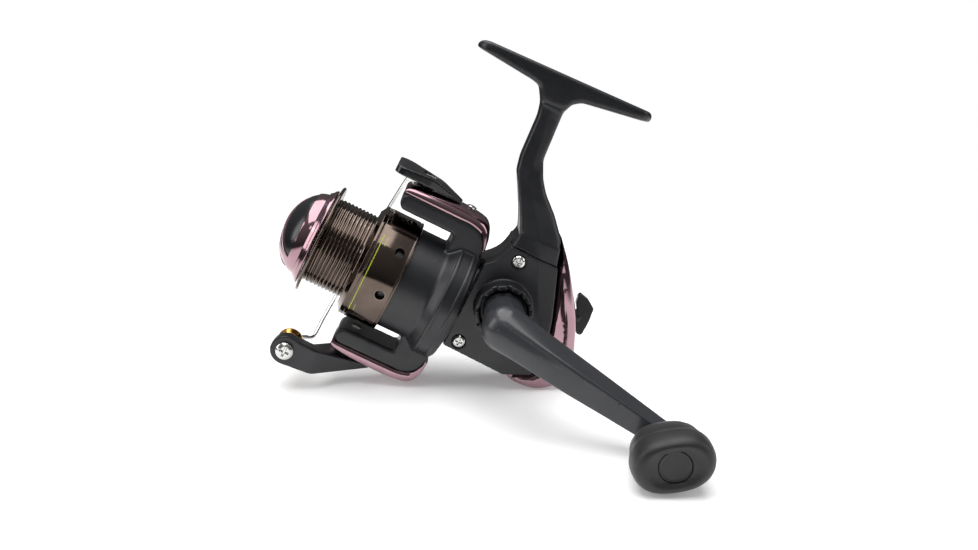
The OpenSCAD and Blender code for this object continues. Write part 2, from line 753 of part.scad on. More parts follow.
module main_shaft() {
    color(steel) head() along_x(slider_x - 2.8, knob_base_x + 5.2 - slider_x + 2.8, shaft_r);
}
module slider() {
    slot_z = osc_z;
    slot_half = stroke / 2 + pin_r + 0.15;
    color(steel) head() difference() {
        union() {
            translate([slider_x - slider_half, slider_y1 - 0.1, -2.8]) cube([2 * slider_half, 4.2, 5.6]);
            translate([slider_x - slider_half, slider_y0, slot_z - slot_half - 1.1])
                cube([2 * slider_half, slider_y1 - slider_y0, 2 * slot_half + 2.2]);
        }
        translate([slider_x - pin_r - 0.15, slider_y0 - cut, slot_z - slot_half])
            cube([2 * pin_r + 0.3, slider_y1 - slider_y0 + cut - 0.2, 2 * slot_half]);
        along_x(-40, 60, shaft_r);
        translate([slider_x, 0, -10]) cylinder(r = 0.8, h = 10);
    }
}
module slider_screw() {
    color(steel) head() translate([slider_x, 0, -2.8]) rotate([180, 0, 0]) screw(1.4, 0.5, 0.8, 1.3);
}
module spool_seat() {
    color(steel) head() {
        tube_x(seat_x, seat_t, 6, shaft_r);
        tube_x(seat_x - sleeve_l, sleeve_l, 3.4, shaft_r);
    }
}
module spool() {
    color(gunmetal) head() difference() {
        turned() polygon([[skirt_x, 0], [skirt_x, skirt_r - 0.5], [skirt_x + 0.5, skirt_r],
            [groove_x - 0.8, skirt_r], [groove_x, skirt_r - 0.8], [groove_x, arbor_r],
            for (ridge = [1:9], side = [0, 1])
                [groove_x + (ridge - 0.35 + side * 0.5) * arbor_l / 10, arbor_r - 0.35 + side * 0.35],
            [lip_x, arbor_r], [lip_x, lip_r - 0.5], [lip_x + 0.4, lip_r], [nose_x - 0.4, lip_r],
            [nose_x, lip_r - 0.5], [nose_x, 0]]);
        turned() polygon([[skirt_x - cut, 5], [skirt_x - cut, skirt_r - skirt_wall],
            [web_x, skirt_r - skirt_wall], [web_x, arbor_r - 2], [recess_x - 2, arbor_r - 2], [recess_x - 2, 5]]);
        along_x(skirt_x - cut, seat_x + seat_t + 0.3 - skirt_x + cut, 8);
        along_x(skirt_x - cut, 60, shaft_r + 1.2);
        along_x(recess_x, 20, recess_r);
        for (turn = [0:45:315])
            rotate([turn + 35, 0, 0]) translate([skirt_x + 4, 0, skirt_r - 4]) cylinder(r = skirt_hole_r, h = 8);
    }
}
module spool_bush() {
    color(brass) head() tube_x(seat_x + seat_t + 0.3, recess_x - seat_x - seat_t - 0.3, shaft_r + 1.2, shaft_r + run);
}
module felt_washers() {
    color("#8a8173") head() for (place = [0, 2])
        tube_x(recess_x + place * (washer_t + run / 2), washer_t - run, recess_r - 0.6, shaft_r + 0.4);
}
module eared_washer() {
    color(steel) head() tube_x(recess_x + 3 * washer_t, washer_t, recess_r - 0.1, shaft_r + 0.4);
}
module keyed_washer() {
    color(steel) head() tube_x(recess_x + washer_t, washer_t, recess_r - 0.6, shaft_r);
}
module drag_clip() {
    color(steel) head() difference() {
        tube_x(nose_x - 2.4, 0.8, recess_r, recess_r - 1.1);
        translate([nose_x - 3, -2, recess_r - 3]) cube([2, 4, 6]);
    }
}
module drag_dome(shrink) {
    turned() intersection() {
        translate([knob_base_x + knob_base_t - 1, 0]) scale([(dome_l - shrink) / dome_r, 1])
            circle(r = dome_r - shrink);
        translate([knob_base_x, 0]) square([30, 30]);
    }
}
module drag_knob() {
    color(rose) head() difference() {
        union() {
            along_x(knob_base_x, knob_base_t, knob_base_r);
            drag_dome(0);
        }
        along_x(knob_base_x - cut, knob_base_t - 1 + cut, dome_r - 3);
        along_x(knob_base_x, 5.6, 5.2);
        drag_knob_inset_shape();
    }
}
// two black panels let into the sides of the dome
module drag_knob_inset_shape() {
    intersection() {
        difference() {
            drag_dome(0);
            drag_dome(1.2);
        }
        for (side = [-1, 1])
            rotate([side * 90 + 42, 0, 0]) translate([knob_base_x + 5.8, -20, 4.2]) cube([30, 40, 30]);
    }
}
module drag_knob_insets() {
    color(black) head() drag_knob_inset_shape();
}
module drag_nut() {
    color(brass) head() difference() {
        translate([knob_base_x + 0.8, 0, 0]) rotate([0, 90, 0]) cylinder(r = 5.1, h = 3.6, $fn = 6);
        along_x(knob_base_x, 8, shaft_r + run);
    }
}
module drag_spring() {
    color(steel) head() for (turn = [0:3])
        translate([nose_x - 2.9 + turn * 0.85, 0, 0]) rotate([0, 90, 0]) rotate_extrude()
            translate([3.2, 0]) circle(r = 0.44);
}
module oscillation_gear() {
    color(steel) head() translate([osc_x, 0, osc_z]) difference() {
        union() {
            slab(spur_y0, spur_y1) spur_shape(osc_teeth, osc_dir + 180 + 180 / osc_teeth);
            translate([stroke / 2, 0, 0]) along_y(spur_y1 - 0.2, slider_y0 - spur_y1 - 0.1, pin_r);
        }
        along_y(-20, 40, 1.5 + run);
    }
}
module reverse_lever() {
    color(black) head() translate([0, lever_y, lever_z]) {
        along_x(-26.5, ratchet_x + ratchet_t + 26.5, lever_r);
        along_x(-28.5, 3.2, 2.2);
        slab(-1.9, 1.9)
            polygon([[-26.5, 2.2], [-24.8, 4.6], [-24.3, 7.4], [-24.9, 8.4], [-28.4, 7.6], [-31.5, 5.6],
                [-32.2, 0.6], [-32.2, -4.4], [-31.6, -5.4], [-30.2, -5.4], [-28.8, -3.2], [-27.6, -1]]);
    }
}
module reverse_cam() {
    color(steel) head() translate([ratchet_x, lever_y, lever_z]) rotate([90, 0, 90]) linear_extrude(pawl_t)
        difference() {
            union() {
                circle(r = 1.8);
                polygon([[0, 1.7], [-3.6, 0.8], [-3.6, -0.8], [0, -1.7]]);
            }
            circle(r = lever_r);
        }
}
module ratchet_pawl() {
    color(steel) head() translate([ratchet_x, pawl_y, pawl_z]) difference() {
        union() {
            along_x(0, pawl_t, 2.1);
            rotate([90, 0, 90]) linear_extrude(pawl_t)
                polygon([[-1.5, 0.4], [1, 8], [2.6, 7.4], [1.6, 3], [4.5, 6], [6.3, 4.4], [1.2, -1.2], [0, 0]]);
        }
        along_x(-cut, pawl_t + 2 * cut, 1 + run);
    }
}

body_housing();
side_cover();
cover_screws();
rear_cover();
rear_cover_screw();
left_drive_bush();
right_drive_bush();
pinion_bearing();
bearing_retainer();
retainer_screws();
dust_cap();
oscillation_axle();
pawl_pin();
drive_gear();
handle_arm();
handle_screw();
knob_spindle();
knob_body();
knob_cap();
pinion();
rotor();
rotor_nut();
reverse_ratchet();
upper_arm_cover();
lower_arm_cover();
arm_cover_screws();
bail_pivot_screws();
bail_spring();
trip_lever();
roller_arm();
bail_holder();
bail_wire();
roller_screw();
roller_bush();
line_roller();
main_shaft();
slider();
slider_screw();
spool_seat();
keyed_washer();
spool();
spool_bush();
felt_washers();
eared_washer();
drag_clip();
drag_knob();
drag_knob_insets();
drag_nut();
drag_spring();
oscillation_gear();
reverse_lever();
reverse_cam();
ratchet_pawl();
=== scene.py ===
import json
import math

import bmesh
import bpy
import numpy as np
from mathutils import Matrix, Vector
from mathutils.bvhtree import BVHTree
from mathutils.geometry import delaunay_2d_cdt


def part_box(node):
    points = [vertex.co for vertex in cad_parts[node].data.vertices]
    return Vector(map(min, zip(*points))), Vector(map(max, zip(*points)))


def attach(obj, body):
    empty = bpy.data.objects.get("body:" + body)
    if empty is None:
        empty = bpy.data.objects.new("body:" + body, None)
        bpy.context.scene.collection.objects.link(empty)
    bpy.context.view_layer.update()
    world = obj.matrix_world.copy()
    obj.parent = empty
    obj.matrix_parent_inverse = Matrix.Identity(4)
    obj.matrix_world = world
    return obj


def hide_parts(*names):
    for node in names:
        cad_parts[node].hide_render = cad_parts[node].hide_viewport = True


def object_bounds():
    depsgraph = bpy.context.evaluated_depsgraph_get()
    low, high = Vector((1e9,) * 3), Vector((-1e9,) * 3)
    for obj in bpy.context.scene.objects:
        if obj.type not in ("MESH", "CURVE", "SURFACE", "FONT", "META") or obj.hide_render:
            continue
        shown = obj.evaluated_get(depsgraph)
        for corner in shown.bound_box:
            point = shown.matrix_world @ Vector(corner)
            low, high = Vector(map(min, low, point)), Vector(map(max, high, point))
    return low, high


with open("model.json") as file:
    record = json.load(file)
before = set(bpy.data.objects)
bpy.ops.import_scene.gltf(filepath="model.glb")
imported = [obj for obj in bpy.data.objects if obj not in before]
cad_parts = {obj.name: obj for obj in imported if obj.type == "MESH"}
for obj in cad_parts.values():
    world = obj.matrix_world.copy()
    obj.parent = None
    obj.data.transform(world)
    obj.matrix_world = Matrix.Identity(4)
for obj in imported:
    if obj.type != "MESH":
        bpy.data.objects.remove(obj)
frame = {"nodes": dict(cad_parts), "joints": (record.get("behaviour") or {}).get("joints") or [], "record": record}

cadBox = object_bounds()
mm = 0.001
nodes = frame["nodes"]
scene = bpy.context.scene

# the head's own axes: x along the spool's shaft, y to the handle's side, z up the stem
spin = next(j for j in frame["joints"] if j["name"] == "rotor_spin")
headX = Vector(spin["axis"]).normalized()
headY = Vector((0, 1, 0))
headZ = headX.cross(headY)
headTurn = Matrix((headX, headY, headZ)).transposed().to_4x4()
headToRow = Matrix.Translation(spin["pos_m"]) @ headTurn @ Matrix.Scale(mm, 4)
rowToHead = headToRow.inverted()


def headBox(node):
    low, high = Vector((1e9,) * 3), Vector((-1e9,) * 3)
    for vertex in nodes[node].data.vertices:
        point = rowToHead @ vertex.co
        low = Vector(map(min, low, point))
        high = Vector(map(max, high, point))
    return low, high


def jointAt(name):
    return rowToHead @ Vector(next(j for j in frame["joints"] if j["name"] == name)["pos_m"])


# ---- materials
def colour(code):
    parts = [int(code[i:i + 2], 16) / 255 for i in (1, 3, 5)]
    return tuple(p / 12.92 if p <= 0.04045 else ((p + 0.055) / 1.055) ** 2.4 for p in parts) + (1,)


def addNode(tree, kind, settings=None, links=None):
    node = tree.nodes.new("ShaderNode" + kind)
    for key, value in (settings or {}).items():
        if isinstance(key, int) or key in node.inputs:
            node.inputs[key].default_value = value
        else:
            setattr(node, key, value)
    for socket, source in (links or {}).items():
        tree.links.new(source, node.inputs[socket])
    return node


def makeMaterial(name, look):
    material = bpy.data.materials.new(name)
    material.use_nodes = True
    tree = material.node_tree
    tree.nodes.clear()
    place = addNode(tree, "TexCoord").outputs["Object"]
    patches = addNode(tree, "TexNoise", {"Scale": 1 / (look["patchMm"] * mm), "Detail": 3.0},
                      {"Vector": place})
    grain = addNode(tree, "TexNoise", {"Scale": 1 / (look["grainMm"] * mm), "Detail": 2.0},
                    {"Vector": place})
    if "lineMm" in look:  # fine machining or polishing lines, stretched along one way
        stretched = addNode(tree, "Mapping", {"Scale": look["lineWay"]}, {"Vector": place})
        grain = addNode(tree, "TexNoise", {"Scale": 1 / (look["lineMm"] * mm), "Detail": 2.0},
                        {"Vector": stretched.outputs[0]})
    share = addNode(tree, "MapRange", {"From Min": 0.35, "From Max": 0.65}, {"Value": patches.outputs[0]})
    body = addNode(tree, "Mix", {"data_type": "RGBA", 6: colour(look["colour"]), 7: colour(look["patch"])},
                   {0: share.outputs[0]})
    form = addNode(tree, "NewGeometry")
    rub = addNode(tree, "MapRange", {"From Min": 0.53, "From Max": 0.62, "To Max": look["wear"]},
                  {"Value": form.outputs["Pointiness"]})
    worn = addNode(tree, "Mix", {"data_type": "RGBA", 7: colour(look["worn"])},
                   {0: rub.outputs[0], 6: body.outputs[2]})
    gloss = addNode(tree, "MapRange", {"From Min": 0.3, "From Max": 0.7,
                    "To Min": look["rough"] - look["spread"], "To Max": look["rough"] + look["spread"]},
                    {"Value": grain.outputs[0] if "lineMm" in look else patches.outputs[0]})
    bump = addNode(tree, "Bump", {"Strength": look["bump"], "Distance": look["bumpMm"] * mm},
                   {"Height": grain.outputs[0]})
    shader = addNode(tree, "BsdfPrincipled", {"Metallic": look["metal"], "IOR": look.get("ior", 1.5),
                     "Coat Weight": look.get("coat", 0), "Sheen Weight": look.get("sheen", 0),
                     "Specular IOR Level": look.get("level", 0.5)},
                     {"Base Color": worn.outputs[2], "Roughness": gloss.outputs[0],
                      "Normal": bump.outputs[0]})
    addNode(tree, "OutputMaterial", {}, {"Surface": shader.outputs[0]})
    return material


# Injection-moulded ABS from a spark-eroded mould: a blue-black satin with a very fine grain,
# rubbed a little lighter along its edges. The real grain of about 0.05 mm is drawn at 0.25 mm to show.
mouldedAbs = makeMaterial("Moulded ABS, satin black", {
    "colour": "#18191d", "patch": "#141519", "worn": "#34363b", "wear": 0.3, "patchMm": 9, "grainMm": 0.25,
    "rough": 0.36, "spread": 0.05, "bump": 0.22, "bumpMm": 0.02, "metal": 0, "ior": 1.53})
# The same plastic polished in the mould on the drag panels and the wire's holder, so a little glossier.
polishedAbs = makeMaterial("Moulded ABS, polished black", {
    "colour": "#101114", "patch": "#141518", "worn": "#2c2d31", "wear": 0.2, "patchMm": 7, "grainMm": 0.3,
    "rough": 0.24, "spread": 0.04, "bump": 0.1, "bumpMm": 0.015, "metal": 0, "ior": 1.53})
# Moulded thermoplastic rubber, matt, with a soft broad highlight and a pale bloom at its corners.
mouldedRubber = makeMaterial("Moulded rubber, matt black", {
    "colour": "#0d0d0f", "patch": "#111113", "worn": "#252527", "wear": 0.35, "patchMm": 6, "grainMm": 0.3,
    "rough": 0.5, "spread": 0.06, "bump": 0.3, "bumpMm": 0.03, "metal": 0, "ior": 1.52, "sheen": 0.08})
# Die-cast zinc with sprayed grey enamel: semi-gloss, faint orange peel at about 0.8 mm.
sprayedZinc = makeMaterial("Sprayed zinc, graphite grey", {
    "colour": "#303135", "patch": "#2b2c30", "worn": "#505156", "wear": 0.35, "patchMm": 12, "grainMm": 0.8,
    "rough": 0.33, "spread": 0.05, "bump": 0.12, "bumpMm": 0.02, "metal": 0, "ior": 1.5, "coat": 0.15})
# Vacuum-plated ABS under a pink lacquer: a clear mirror tinted old rose, browner in patches.
platedRose = makeMaterial("Vacuum-plated ABS, old rose", {
    "colour": "#a5868e", "patch": "#92747c", "worn": "#c6acb2", "wear": 0.4, "patchMm": 14, "grainMm": 2.5,
    "rough": 0.1, "spread": 0.03, "bump": 0.05, "bumpMm": 0.02, "metal": 1})
# Vacuum-plated ABS under a smoke lacquer: a dark brown mirror.
platedSmoke = makeMaterial("Vacuum-plated ABS, smoke", {
    "colour": "#685c55", "patch": "#594e47", "worn": "#988c85", "wear": 0.5, "patchMm": 10, "grainMm": 2,
    "rough": 0.09, "spread": 0.03, "bump": 0.05, "bumpMm": 0.015, "metal": 1})
# Cold-drawn stainless wire and plated screw heads: bright, with fine polishing lines 0.12 mm apart.
polishedSteel = makeMaterial("Nickel-plated steel, polished", {
    "colour": "#d3d2cf", "patch": "#c3c2c0", "worn": "#e6e5e2", "wear": 0.3, "patchMm": 4, "grainMm": 0.2,
    "rough": 0.16, "spread": 0.06, "bump": 0.08, "bumpMm": 0.008, "metal": 1,
    "lineMm": 0.12, "lineWay": (1, 0.1, 1)})
# Turned and milled steel inside the case, with tool lines about 0.15 mm apart.
machinedSteel = makeMaterial("Carbon steel, machined", {
    "colour": "#9fa1a4", "patch": "#8d8f92", "worn": "#c6c8ca", "wear": 0.4, "patchMm": 5, "grainMm": 0.3,
    "rough": 0.34, "spread": 0.08, "bump": 0.2, "bumpMm": 0.012, "metal": 1,
    "lineMm": 0.15, "lineWay": (1, 0.15, 1)})
# Turned brass, slightly dulled, with lathe lines across the axis.
turnedBrass = makeMaterial("Brass, turned", {
    "colour": "#c79a4b", "patch": "#b1853c", "worn": "#e3c079", "wear": 0.4, "patchMm": 4, "grainMm": 0.3,
    "rough": 0.24, "spread": 0.07, "bump": 0.15, "bumpMm": 0.01, "metal": 1,
    "lineMm": 0.2, "lineWay": (1, 0.15, 1)})
# Titanium-nitride coated brass on the roller: warm gold, smooth enough for line to run over it.
coatedGold = makeMaterial("Nitride-coated brass, gold", {
    "colour": "#dcb066", "patch": "#c99a50", "worn": "#f0d29a", "wear": 0.3, "patchMm": 3, "grainMm": 0.3,
    "rough": 0.14, "spread": 0.04, "bump": 0.06, "bumpMm": 0.008, "metal": 1})
# Pressed wool felt, oiled: fuzzy, mottled and dull.
pressedFelt = makeMaterial("Wool felt, pressed", {
    "colour": "#8a8173", "patch": "#746b5e", "worn": "#a39a8b", "wear": 0.3, "patchMm": 1.5, "grainMm": 0.12,
    "rough": 0.9, "spread": 0.05, "bump": 0.6, "bumpMm": 0.08, "metal": 0, "ior": 1.45, "sheen": 0.4})
# Pad-printed ink in a yellow green, a hair thicker than the plating it lies on.
printedInk = makeMaterial("Pad-printed ink, yellow green", {
    "colour": "#b4bd2c", "patch": "#a2ab24", "worn": "#8f9630", "wear": 0.2, "patchMm": 1.5, "grainMm": 0.2,
    "rough": 0.45, "spread": 0.05, "bump": 0.1, "bumpMm": 0.01, "metal": 0, "ior": 1.48})

slotLooks = {
    "satin_black": mouldedAbs, "knob_black": mouldedRubber, "handle_grey": sprayedZinc,
    "rose_chrome": platedRose, "gunmetal_chrome": platedSmoke, "steel": machinedSteel,
    "bright_steel": polishedSteel, "brass": turnedBrass, "felt": pressedFelt}
bodyOf = {n: b for b, names in frame["record"]["behaviour"]["bodies"].items() for n in names}
slotOf = {part["node"]: part["material_slot"] for part in frame["record"]["subparts"]}
for name, node in nodes.items():
    node.data.materials.clear()
    node.data.materials.append(slotLooks[slotOf[name]])
print("stage: materials")


# ---- mesh tools; every shape is drawn in the head's millimetres and then put in the row frame
def addPiece(name, bm, material, replaced=(), body=None, sharp=35, inRow=False):
    bmesh.ops.recalc_face_normals(bm, faces=bm.faces)
    if not inRow:
        bmesh.ops.transform(bm, matrix=headToRow, verts=bm.verts)
    mesh = bpy.data.meshes.new(name)
    bm.to_mesh(mesh)
    bm.free()
    mesh.polygons.foreach_set("use_smooth", [True] * len(mesh.polygons))
    mesh.set_sharp_from_angle(angle=math.radians(sharp))
    mesh.materials.append(material)
    piece = bpy.data.objects.new(name, mesh)
    scene.collection.objects.link(piece)
    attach(piece, body or bodyOf[replaced[0]])
    if replaced:
        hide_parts(*replaced)
    return piece


def rounded(points, closed=False, steps=5):
    # each point is (a, b) or (a, b, corner), the corner's reach along its two sides
    out = []
    count = len(points)
    for i, point in enumerate(points):
        here = Vector(point[:2])
        if len(point) < 3 or (not closed and i in (0, count - 1)):
            out.append(tuple(here))
            continue
        back = Vector(points[i - 1][:2]) - here
        ahead = Vector(points[(i + 1) % count][:2]) - here
        start = here + back.normalized() * min(point[2], back.length * 0.48)
        end = here + ahead.normalized() * min(point[2], ahead.length * 0.48)
        for k in range(steps + 1):
            t = k / steps
            out.append(tuple(start * (1 - t) ** 2 + here * (2 * t * (1 - t)) + end * t * t))
    return out


def smoothLine(points, steps, closed=False):
    # a Catmull-Rom curve through the points
    spots = [Vector(p) for p in points]
    count = len(spots)
    out = []
    for i in range(count if closed else count - 1):
        if closed:
            a, b, c, d = (spots[(i + k) % count] for k in (-1, 0, 1, 2))
        else:
            a, b, c, d = (spots[min(max(i + k, 0), count - 1)] for k in (-1, 0, 1, 2))
        for k in range(steps):
            t = k / steps
            out.append(0.5 * (2 * b + (c - a) * t + (2 * a - 5 * b + 4 * c - d) * t * t
                              + (3 * b - a - 3 * c + d) * t ** 3))
    if not closed:
        out.append(spots[-1])
    return out


def bridge(bm, a, b, closed=True):
    if len(a) == 1 or len(b) == 1:
        tip, ring = (a[0], b) if len(a) == 1 else (b[0], a)
        for i in range(len(ring)):
            bm.faces.new((tip, ring[i], ring[(i + 1) % len(ring)]))
        return
    for i in range(len(a) if closed else len(a) - 1):
        j = (i + 1) % len(a)
        bm.faces.new((a[i], a[j], b[j], b[i]))


def lathe(profile, turns=168, closed=False, axis=(0, 0)):
    # profile of (x, radius), turned about a line along x at axis (y, z)
    bm = bmesh.new()
    rings = []
    for x, radius in profile:
        if radius < 1e-4:
            rings.append([bm.verts.new((x, axis[0], axis[1]))])
            continue
        rings.append([bm.verts.new((x, axis[0] + radius * math.sin(math.tau * i / turns),
                                    axis[1] + radius * math.cos(math.tau * i / turns)))
                      for i in range(turns)])
    for a, b in zip(rings, rings[1:] + (rings[:1] if closed else [])):
        bridge(bm, a, b)
    return bm


def joinInto(bm, other):
    mesh = bpy.data.meshes.new("joined")
    other.to_mesh(mesh)
    other.free()
    bm.from_mesh(mesh)
    bpy.data.meshes.remove(mesh)


def tube(path, radii, sides=20, closed=False):
    # a round bar along a path, its rings carried along without twist
    bm = bmesh.new()
    spots = [Vector(p) for p in path]
    count = len(spots)
    radii = radii if hasattr(radii, "__len__") else [radii] * count
    rings = []
    up = None
    for i, spot in enumerate(spots):
        if closed:
            way = (spots[(i + 1) % count] - spots[i - 1]).normalized()
        else:
            way = (spots[min(i + 1, count - 1)] - spots[max(i - 1, 0)]).normalized()
        up = way.orthogonal() if up is None else up - way * up.dot(way)
        up.normalize()
        side = way.cross(up)
        rings.append([bm.verts.new(spot + radii[i] * (up * math.cos(math.tau * k / sides)
                                                      + side * math.sin(math.tau * k / sides)))
                      for k in range(sides)])
    for a, b in zip(rings, rings[1:]):
        bridge(bm, a, b)
    if closed:
        bridge(bm, rings[-1], rings[0])
    else:
        bm.faces.new(rings[0][::-1])
        bm.faces.new(rings[-1])
    return bm


def ballTube(path, radii, sides=32, shape=None):
    # a bar whose ends are round, through spheres of these radii; shape bends a ring's radius by angle
    spots = [Vector(p) for p in path]
    first = (spots[1] - spots[0]).normalized()
    last = (spots[-1] - spots[-2]).normalized()
    points, sizes = [], []
    for k in range(1, 9):
        turn = math.pi / 2 * k / 9
        points.append(spots[0] - first * radii[0] * math.cos(turn))
        sizes.append(radii[0] * math.sin(turn))
    points += spots
    sizes += list(radii)
    for k in range(8, 0, -1):
        turn = math.pi / 2 * k / 9
        points.append(spots[-1] + last * radii[-1] * math.cos(turn))
        sizes.append(radii[-1] * math.sin(turn))
    bm = bmesh.new()
    rings = []
    for i, spot in enumerate(points):
        way = (points[min(i + 1, len(points) - 1)] - points[max(i - 1, 0)]).normalized()
        side = headWayUp.cross(way).normalized()
        up = way.cross(side)
        ring = []
        for k in range(sides):
            turn = math.tau * k / sides
            size = sizes[i] * (shape(turn, i / (len(points) - 1)) if shape else 1)
            ring.append(bm.verts.new(spot + size * (side * math.sin(turn) + up * math.cos(turn))))
        rings.append(ring)
    for a, b in zip(rings, rings[1:]):
        bridge(bm, a, b)
    bm.faces.new(rings[0][::-1])
    bm.faces.new(rings[-1])
    return bm


headWayUp = Vector((0, 0, 1))


def fuse(bm, cell, rounds, inRow=False):
    # one skin over overlapping solids, its corners worn round by smoothing
    unit = mm if inRow else 1
    mesh = bpy.data.meshes.new("fused")
    bm.to_mesh(mesh)
    bm.free()
    helper = bpy.data.objects.new("fused", mesh)
    scene.collection.objects.link(helper)
    skin = helper.modifiers.new("skin", "REMESH")
    skin.mode = "VOXEL"
    skin.voxel_size = cell * unit
    ease = helper.modifiers.new("ease", "SMOOTH")
    ease.factor = 0.5
    ease.iterations = rounds
    bpy.context.view_layer.update()
    final = bpy.data.meshes.new_from_object(helper.evaluated_get(bpy.context.evaluated_depsgraph_get()))
    out = bmesh.new()
    out.from_mesh(final)
    bpy.data.objects.remove(helper)
    bpy.data.meshes.remove(mesh)
    bpy.data.meshes.remove(final)
    return out


def cadCopy(*names):
    bm = bmesh.new()
    for name in names:
        bm.from_mesh(nodes[name].data)
    bmesh.ops.remove_doubles(bm, verts=bm.verts, dist=1e-6)
    return bm


def softened(name, node, material, cell=0.35, rounds=10):
    bm = fuse(cadCopy(node), cell, rounds, inRow=True)
    return addPiece(name, bm, material, (node,), inRow=True, sharp=60)


def bevelled(name, node, material, width=0.2):
    # a copy of the solid with its edges broken, for small machined pieces
    bm = cadCopy(node)
    bmesh.ops.dissolve_limit(bm, angle_limit=math.radians(1.5), verts=bm.verts, edges=bm.edges)
    piece = addPiece(name, bm, material, (node,), inRow=True)
    bevel = piece.modifiers.new("edges", "BEVEL")
    bevel.width = width * mm
    bevel.segments = 2
    bevel.limit_method = "ANGLE"
    bevel.angle_limit = math.radians(40)
    bevel.harden_normals = True
    return piece


def insideWays(loop):
    # unit vectors pointing into a loop that runs anticlockwise
    out = []
    for i, here in enumerate(loop):
        way = (loop[(i + 1) % len(loop)] - loop[i - 1]).normalized()
        out.append(Vector((-way.y, way.x)))
    return out


def pillow(outline, low, high, edge, crown, reach, cell):
    # a plate with this (x, z) outline between two y values, its edges rounded and its faces crowned
    loop = [Vector(p) for p in outline]
    area = sum(a.x * b.y - b.x * a.y for a, b in zip(loop, loop[1:] + loop[:1]))
    if area < 0:
        loop.reverse()
    inward = insideWays(loop)
    ends = np.array([tuple(p) for p in loop])
    after = np.roll(ends, -1, axis=0)

    def depth(points):
        points = np.asarray(points)[:, None, :]
        step = (after - ends)[None]
        t = np.clip(((points - ends[None]) * step).sum(2) / ((step ** 2).sum(2) + 1e-12), 0, 1)
        near = ends[None] + t[..., None] * step
        return np.sqrt(((points - near) ** 2).sum(2)).min(1)

    rings = [edge * (1 - math.cos(math.pi / 2 * k / 5)) for k in (1, 2, 3, 4, 5)] + [edge + cell * 0.7]
    spots = [tuple(p) for p in loop]
    for far in rings:
        ring = [tuple(p + way * far) for p, way in zip(loop, inward)]
        kept = depth(ring) > far * 0.96
        spots += [p for p, keep in zip(ring, kept) if keep]
    lowCorner, highCorner = ends.min(0), ends.max(0)
    grid = [(x, z) for x in np.arange(lowCorner[0], highCorner[0], cell)
            for z in np.arange(lowCorner[1], highCorner[1], cell)]
    far = depth(grid)
    spots += [p for p, d in zip(grid, far) if d > rings[-1] + cell * 0.5]
    border = list(range(len(loop)))
    flat, _, faces, *_ = delaunay_2d_cdt([Vector(p) for p in spots], [], [border], 1, 1e-5)
    deep = depth([tuple(p) for p in flat])
    bm = bmesh.new()
    skins = []
    for sideY, sign in ((high, -1), (low, 1)):
        row = []
        for point, d in zip(flat, deep):
            round_ = edge - math.sqrt(max(0, edge ** 2 - max(0, edge - d) ** 2))
            drop = round_ + crown * (1 - min(1, d / reach)) ** 2
            row.append(bm.verts.new((point.x, sideY + sign * drop, point.y)))
        skins.append(row)
        for face in faces:
            bm.faces.new([row[i] for i in face])
    rim = [e for e in bm.edges if len(e.link_faces) == 1]
    bmesh.ops.bridge_loops(bm, edges=rim)
    return bm


# ---- the case, stem and foot
caseShape = {
    "cell": 0.36,       # size of the skin's cells, mm
    "rounds": 9,        # smoothing over the whole case
    "stemRounds": 26,   # more smoothing on the stem and foot, whose edges are fuller
    "stemTop": -0.054,  # height in the row frame above which the fuller edges are complete, m
}
bm = fuse(cadCopy("body_housing"), caseShape["cell"], caseShape["rounds"], inRow=True)
for _ in range(caseShape["stemRounds"]):
    picked = [v for v in bm.verts if v.co.z > caseShape["stemTop"]]
    bmesh.ops.smooth_vert(bm, verts=picked, factor=0.5, use_axis_x=True, use_axis_y=True, use_axis_z=True)
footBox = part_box("body_housing")
footVerts = [v for v in bm.verts if v.co.z > -0.012]
reach = max(v.co.x for v in footVerts), min(v.co.x for v in footVerts), max(v.co.z for v in footVerts)
for v in footVerts:
    # the smoothing draws the toes in, so they're stretched back to their length
    v.co.x *= footBox[1].x / reach[0] if v.co.x > 0 else (-footBox[1].x) / reach[1]
    v.co.z -= reach[2] * (1 - min(1, -v.co.z / 0.012))
creaseShape = {
    "caseFoot": (-14.5, 6.8), "caseLean": 0.503,  # where the case's crease starts, and its lean
    "caseSlope": 0.2, "stemSlope": 0.17,          # how far the faces turn away on each side of the crease
    "stem": ((-60, -16.1), (-49.5, -10.1), (-38.1, -1.7), (-15.7, 1.0), (0, 2.0)),  # height and x, row mm
}


def creased(bm):
    # turns the rear of the case's side and both sides of the stem away from a long soft crease
    steps = creaseShape["stem"]
    for v in bm.verts:
        point = rowToHead @ v.co
        side = 1 if v.co.y > 0 else -1
        z = v.co.z / mm
        if z > steps[0][0] and z < -9 and abs(v.co.y) > 0.002:
            at = np.interp(z, [a for a, _ in steps], [b for _, b in steps])
            fade = min(1, (z - steps[0][0]) / 6, (-9 - z) / 6)
            v.co.y -= side * creaseShape["stemSlope"] * fade * abs(v.co.x / mm - at) * mm
        line = creaseShape["caseFoot"][0] + creaseShape["caseLean"] * (point.z - creaseShape["caseFoot"][1])
        if z <= steps[0][0] + 6 and abs(point.y) > 6 and point.x < line:
            fade = min(1, (steps[0][0] + 6 - z) / 6)
            v.co.y -= side * creaseShape["caseSlope"] * fade * min(line - point.x, 7) * mm
    return bm


addPiece("caseAndStem", creased(bm), mouldedAbs, ("body_housing",), inRow=True, sharp=70)
addPiece("caseLid", creased(fuse(cadCopy("side_cover"), 0.28, 6, inRow=True)), mouldedAbs, ("side_cover",),
         inRow=True, sharp=60)
softened("plainSideCap", "dust_cap", mouldedAbs, 0.2, 4)
print("stage: case")

